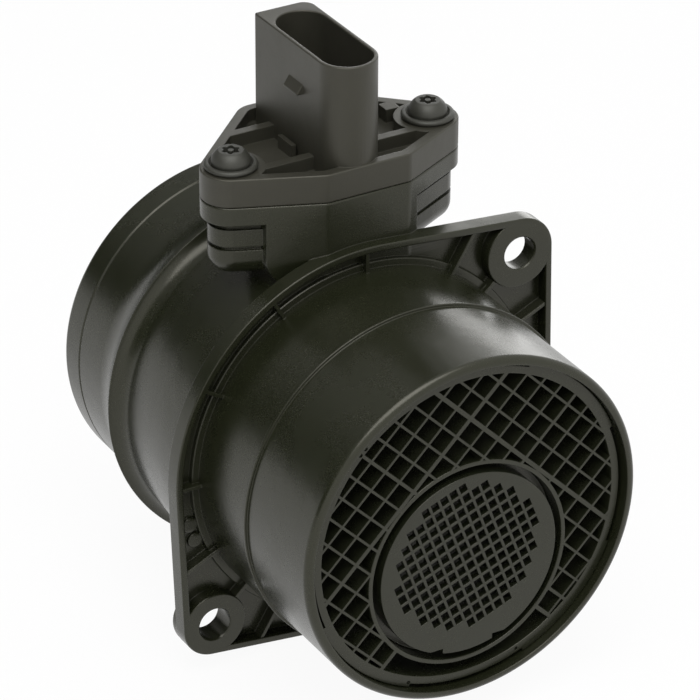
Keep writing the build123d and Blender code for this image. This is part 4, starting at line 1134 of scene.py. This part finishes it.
def floor_finish():
    """White paper floor that keeps a soft shadow."""
    f = Finish("paper_floor")
    fibre = f.noise(900.0, 3.0)
    f.set("Base Color", f.blend(fibre, (0.88, 0.88, 0.88), (0.92, 0.92, 0.92)))
    f.set("Roughness", 0.9)
    glow = f.node("ShaderNodeEmission", Color=(1, 1, 1))["Emission"]
    plain = Sock(f.tree, f.shader.outputs["BSDF"])
    lead_out(f.tree, "Material Output", direct_rays(f.tree) * FLOOR_GLOW, plain, glow)
    return f.material


# ---------------------------------------------------------------- stage
def make_floor(low_z):
    """Large floor with rounded corners, just under the part."""
    sheet = rectangle(-FLOOR_HALF, -FLOOR_HALF, FLOOR_HALF, FLOOR_HALF)
    outline = rounded([(*p, FLOOR_CORNER) for p in sheet], 12)
    floor = prism("floor", [outline], low_z - FLOOR_THICK, low_z, "Z")
    floor.data.materials.append(floor_finish())


def make_surroundings(strength):
    """Soft white light from all sides, before a background that is plain white."""
    world = bpy.data.worlds.new("studio")
    world.use_nodes = True
    bpy.context.scene.world = world
    tree = world.node_tree
    soft = tree.nodes["Background"]
    feed(tree, soft.inputs["Color"], (1, 1, 1))
    feed(tree, soft.inputs["Strength"], strength)
    white = add_node(tree, "ShaderNodeBackground", Color=(1, 1, 1))["Background"]
    lead_out(tree, "World Output", direct_rays(tree), Sock(tree, soft.outputs[0]), white)


def dark_cloth():
    """Matt sheet of painted shade, black low down and greyer towards its top as a painted glow from
    above.
    """
    f = Finish("dark_cloth")
    height = f.node("ShaderNodeSeparateXYZ", Vector=f.place)["Z"]
    # painted glow: the sheet turns from black to grey above 0.35 m
    upper = ((height - 0.35) * 1.5).clamped()
    f.set("Base Color", f.blend(upper, (0.015, 0.015, 0.015), (0.62, 0.62, 0.62)))
    f.set("Roughness", 0.95)
    return f.material


def make_flag(radius, start, end, low, high):
    """Sheet of painted shade bent round the rear of the stage, unseen by the camera, which darkens the
    reflections from there.
    """
    bm = bmesh.new()
    turns = [radians(start + (end - start) * k / FLAG_COLUMNS) for k in range(FLAG_COLUMNS + 1)]
    grid = []
    for row in range(FLAG_ROWS + 1):
        rise = radians(low + (high - low) * row / FLAG_ROWS)
        grid.append([bm.verts.new((radius * cos(rise) * cos(turn), radius * cos(rise) * sin(turn),
                                   radius * sin(rise))) for turn in turns])
    for lower, upper in zip(grid, grid[1:]):
        for k in range(FLAG_COLUMNS):
            bm.faces.new((lower[k], lower[k + 1], upper[k + 1], upper[k]))
    flag = new_object("flag", bm)
    flag.data.materials.append(dark_cloth())
    flag.visible_camera = False


def make_lamp(name, place, power, width, height):
    data = bpy.data.lights.new(name, 'AREA')
    data.shape = 'RECTANGLE'
    data.energy = power
    data.size = width
    data.size_y = height
    lamp = bpy.data.objects.new(name, data)
    lamp.location = place
    lamp.rotation_mode = 'QUATERNION'
    lamp.rotation_quaternion = (Vector(LAMP_AIM) - Vector(place)).to_track_quat('-Z', 'Y')
    lamp.visible_camera = False
    bpy.context.scene.collection.objects.link(lamp)


def make_camera(stage):
    a, e = stage.azimuth, stage.elevation
    back = Vector((sin(a) * cos(e), -cos(a) * cos(e), sin(e)))
    level = Vector((cos(a), sin(a), 0))
    upright = back.cross(level)
    across = level * cos(stage.roll) + upright * sin(stage.roll)
    up = upright * cos(stage.roll) - level * sin(stage.roll)
    data = bpy.data.cameras.new("camera")
    data.sensor_width = 36.0
    data.lens = stage.lens
    data.clip_start, data.clip_end = 0.05, 20.0
    camera = bpy.data.objects.new("camera", data)
    camera.rotation_mode = 'QUATERNION'
    camera.rotation_quaternion = Matrix((across, up, back)).transposed().to_quaternion()
    camera.location = back * stage.distance + across * stage.aim_right + up * stage.aim_up
    bpy.context.scene.collection.objects.link(camera)
    bpy.context.scene.camera = camera


# ---------------------------------------------------------------- operators
class AIRFLOW_OT_housing(Operator):
    """Build the flow tube with its flange, hose stop, neck and screw bosses"""
    bl_idname = "airflow.housing"
    bl_label = "Flow housing"

    def execute(self, context):
        finish = context.scene.airflow_finish
        make_housing(sizes(), moulded_plastic("housing_plastic", finish.housing, finish.roughness,
                                              finish.grain))
        return {'FINISHED'}


class AIRFLOW_OT_grille(Operator):
    """Build the inlet insert with its diagonal grid, and the fine strainer in its middle"""
    bl_idname = "airflow.grille"
    bl_label = "Inlet grille and strainer"

    def execute(self, context):
        finish = context.scene.airflow_finish
        make_grille(sizes(), moulded_plastic("grille_plastic", finish.grille, finish.roughness,
                                             finish.grain, 0.15))
        make_strainer(sizes(), moulded_plastic("strainer_plastic", finish.strainer,
                                               finish.roughness, finish.grain, 0.12))
        return {'FINISHED'}


class AIRFLOW_OT_insert(Operator):
    """Build the sensor body with its plate, plug shroud, stem and blade"""
    bl_idname = "airflow.insert"
    bl_label = "Sensor insert"

    def execute(self, context):
        finish = context.scene.airflow_finish
        make_insert(sizes(), moulded_plastic("sensor_plastic", finish.insert,
                                             finish.matt_roughness, finish.grain))
        return {'FINISHED'}


class AIRFLOW_OT_fasteners(Operator):
    """Build the two star-recess screws and their dished washers"""
    bl_idname = "airflow.fasteners"
    bl_label = "Screws and washers"

    def execute(self, context):
        make_fasteners(sizes(), metal("black_steel", context.scene.airflow_finish.screws, 0.5, 0.3))
        return {'FINISHED'}


class AIRFLOW_OT_inner_parts(Operator):
    """Give the inner parts their metal, ceramic, resin and rubber finishes"""
    bl_idname = "airflow.inner_parts"
    bl_label = "Inner parts"

    def execute(self, context):
        dark = context.scene.airflow_finish.insert
        give(moulded_plastic("cover_plastic", dark, 0.45, 0.3, 0.1),
             "electronics_cover", "channel_cover", "chip_holder")
        give(metal("carrier_sheet", (0.62, 0.63, 0.64), 0.34), "base_plate")
        give(metal("tinned_brass", (0.50, 0.47, 0.40), 0.3),
             *(f"terminal_{k}" for k in range(1, 6)))
        give(metal("tinned_wire", (0.66, 0.64, 0.60), 0.3), "intake_thermistor")
        give(mineral("white_ceramic", (0.80, 0.78, 0.72), 0.5), "hybrid_board", "filter_capacitors")
        give(mineral("silicon_face", (0.20, 0.21, 0.26), 0.2), "sensor_chip")
        give(mineral("black_resin", (0.05, 0.05, 0.055), 0.55), "control_chip", "trim_resistors")
        give(moulded_plastic("seal_rubber", (0.03, 0.03, 0.03), 0.6, 0.2, 0.1), "stem_seal")
        return {'FINISHED'}


class AIRFLOW_OT_stage(Operator):
    """Lay the pale floor and place the sheet of painted shade, the soft lamps and the camera"""
    bl_idname = "airflow.stage"
    bl_label = "Studio stage"

    def execute(self, context):
        stage = context.scene.airflow_stage
        make_floor(SOLIDS_BOX[0].z / MM - FLOOR_GAP)
        make_surroundings(stage.daylight)
        # painted shade: a dark sheet round the rear, hidden from the camera, darkens the reflections
        make_flag(radius=1500, start=64, end=205, low=2, high=76)
        make_lamp("softbox", (-0.25, -0.35, 0.95), stage.softbox, width=0.9, height=0.9)
        make_lamp("side_box", (0.82, 1.0, 0.16), stage.side_box, width=0.8, height=0.6)
        make_camera(stage)
        return {'FINISHED'}


class AIRFLOW_PT_panel(Panel):
    """Builds the mass airflow sensor piece by piece"""
    bl_idname = "AIRFLOW_PT_panel"
    bl_label = "Mass airflow sensor"
    bl_space_type = 'VIEW_3D'
    bl_region_type = 'UI'
    bl_category = "Airflow"

    def draw(self, context):
        for maker in MAKERS:
            self.layout.operator(maker.bl_idname)
        for name, group in GROUPS.items():
            box = self.layout.box()
            box.label(text=name.replace("airflow_", "").capitalize())
            for field in group.__annotations__:
                box.prop(getattr(context.scene, name), field)


MAKERS = (AIRFLOW_OT_housing, AIRFLOW_OT_grille, AIRFLOW_OT_insert, AIRFLOW_OT_fasteners,
          AIRFLOW_OT_inner_parts, AIRFLOW_OT_stage)
GROUPS = {
    "airflow_tube": TubeSizes, "airflow_flange": FlangeSizes, "airflow_seat": SeatSizes,
    "airflow_grille": GrilleSizes, "airflow_strainer": StrainerSizes,
    "airflow_insert": InsertSizes, "airflow_fastener": FastenerSizes,
    "airflow_finish": FinishSettings, "airflow_stage": StageSettings,
}


def register():
    for kind in (*GROUPS.values(), *MAKERS, AIRFLOW_PT_panel):
        bpy.utils.register_class(kind)
    for name, group in GROUPS.items():
        setattr(bpy.types.Scene, name, PointerProperty(type=group))


def unregister():
    for name in GROUPS:
        delattr(bpy.types.Scene, name)
    for kind in reversed((*GROUPS.values(), *MAKERS, AIRFLOW_PT_panel)):
        bpy.utils.unregister_class(kind)


def main():
    register()
    for maker in MAKERS:
        family, name = maker.bl_idname.split(".")
        getattr(getattr(bpy.ops, family), name)()
    scene = bpy.context.scene
    scene.view_settings.view_transform = 'Standard'


if __name__ == "__main__":
    main()
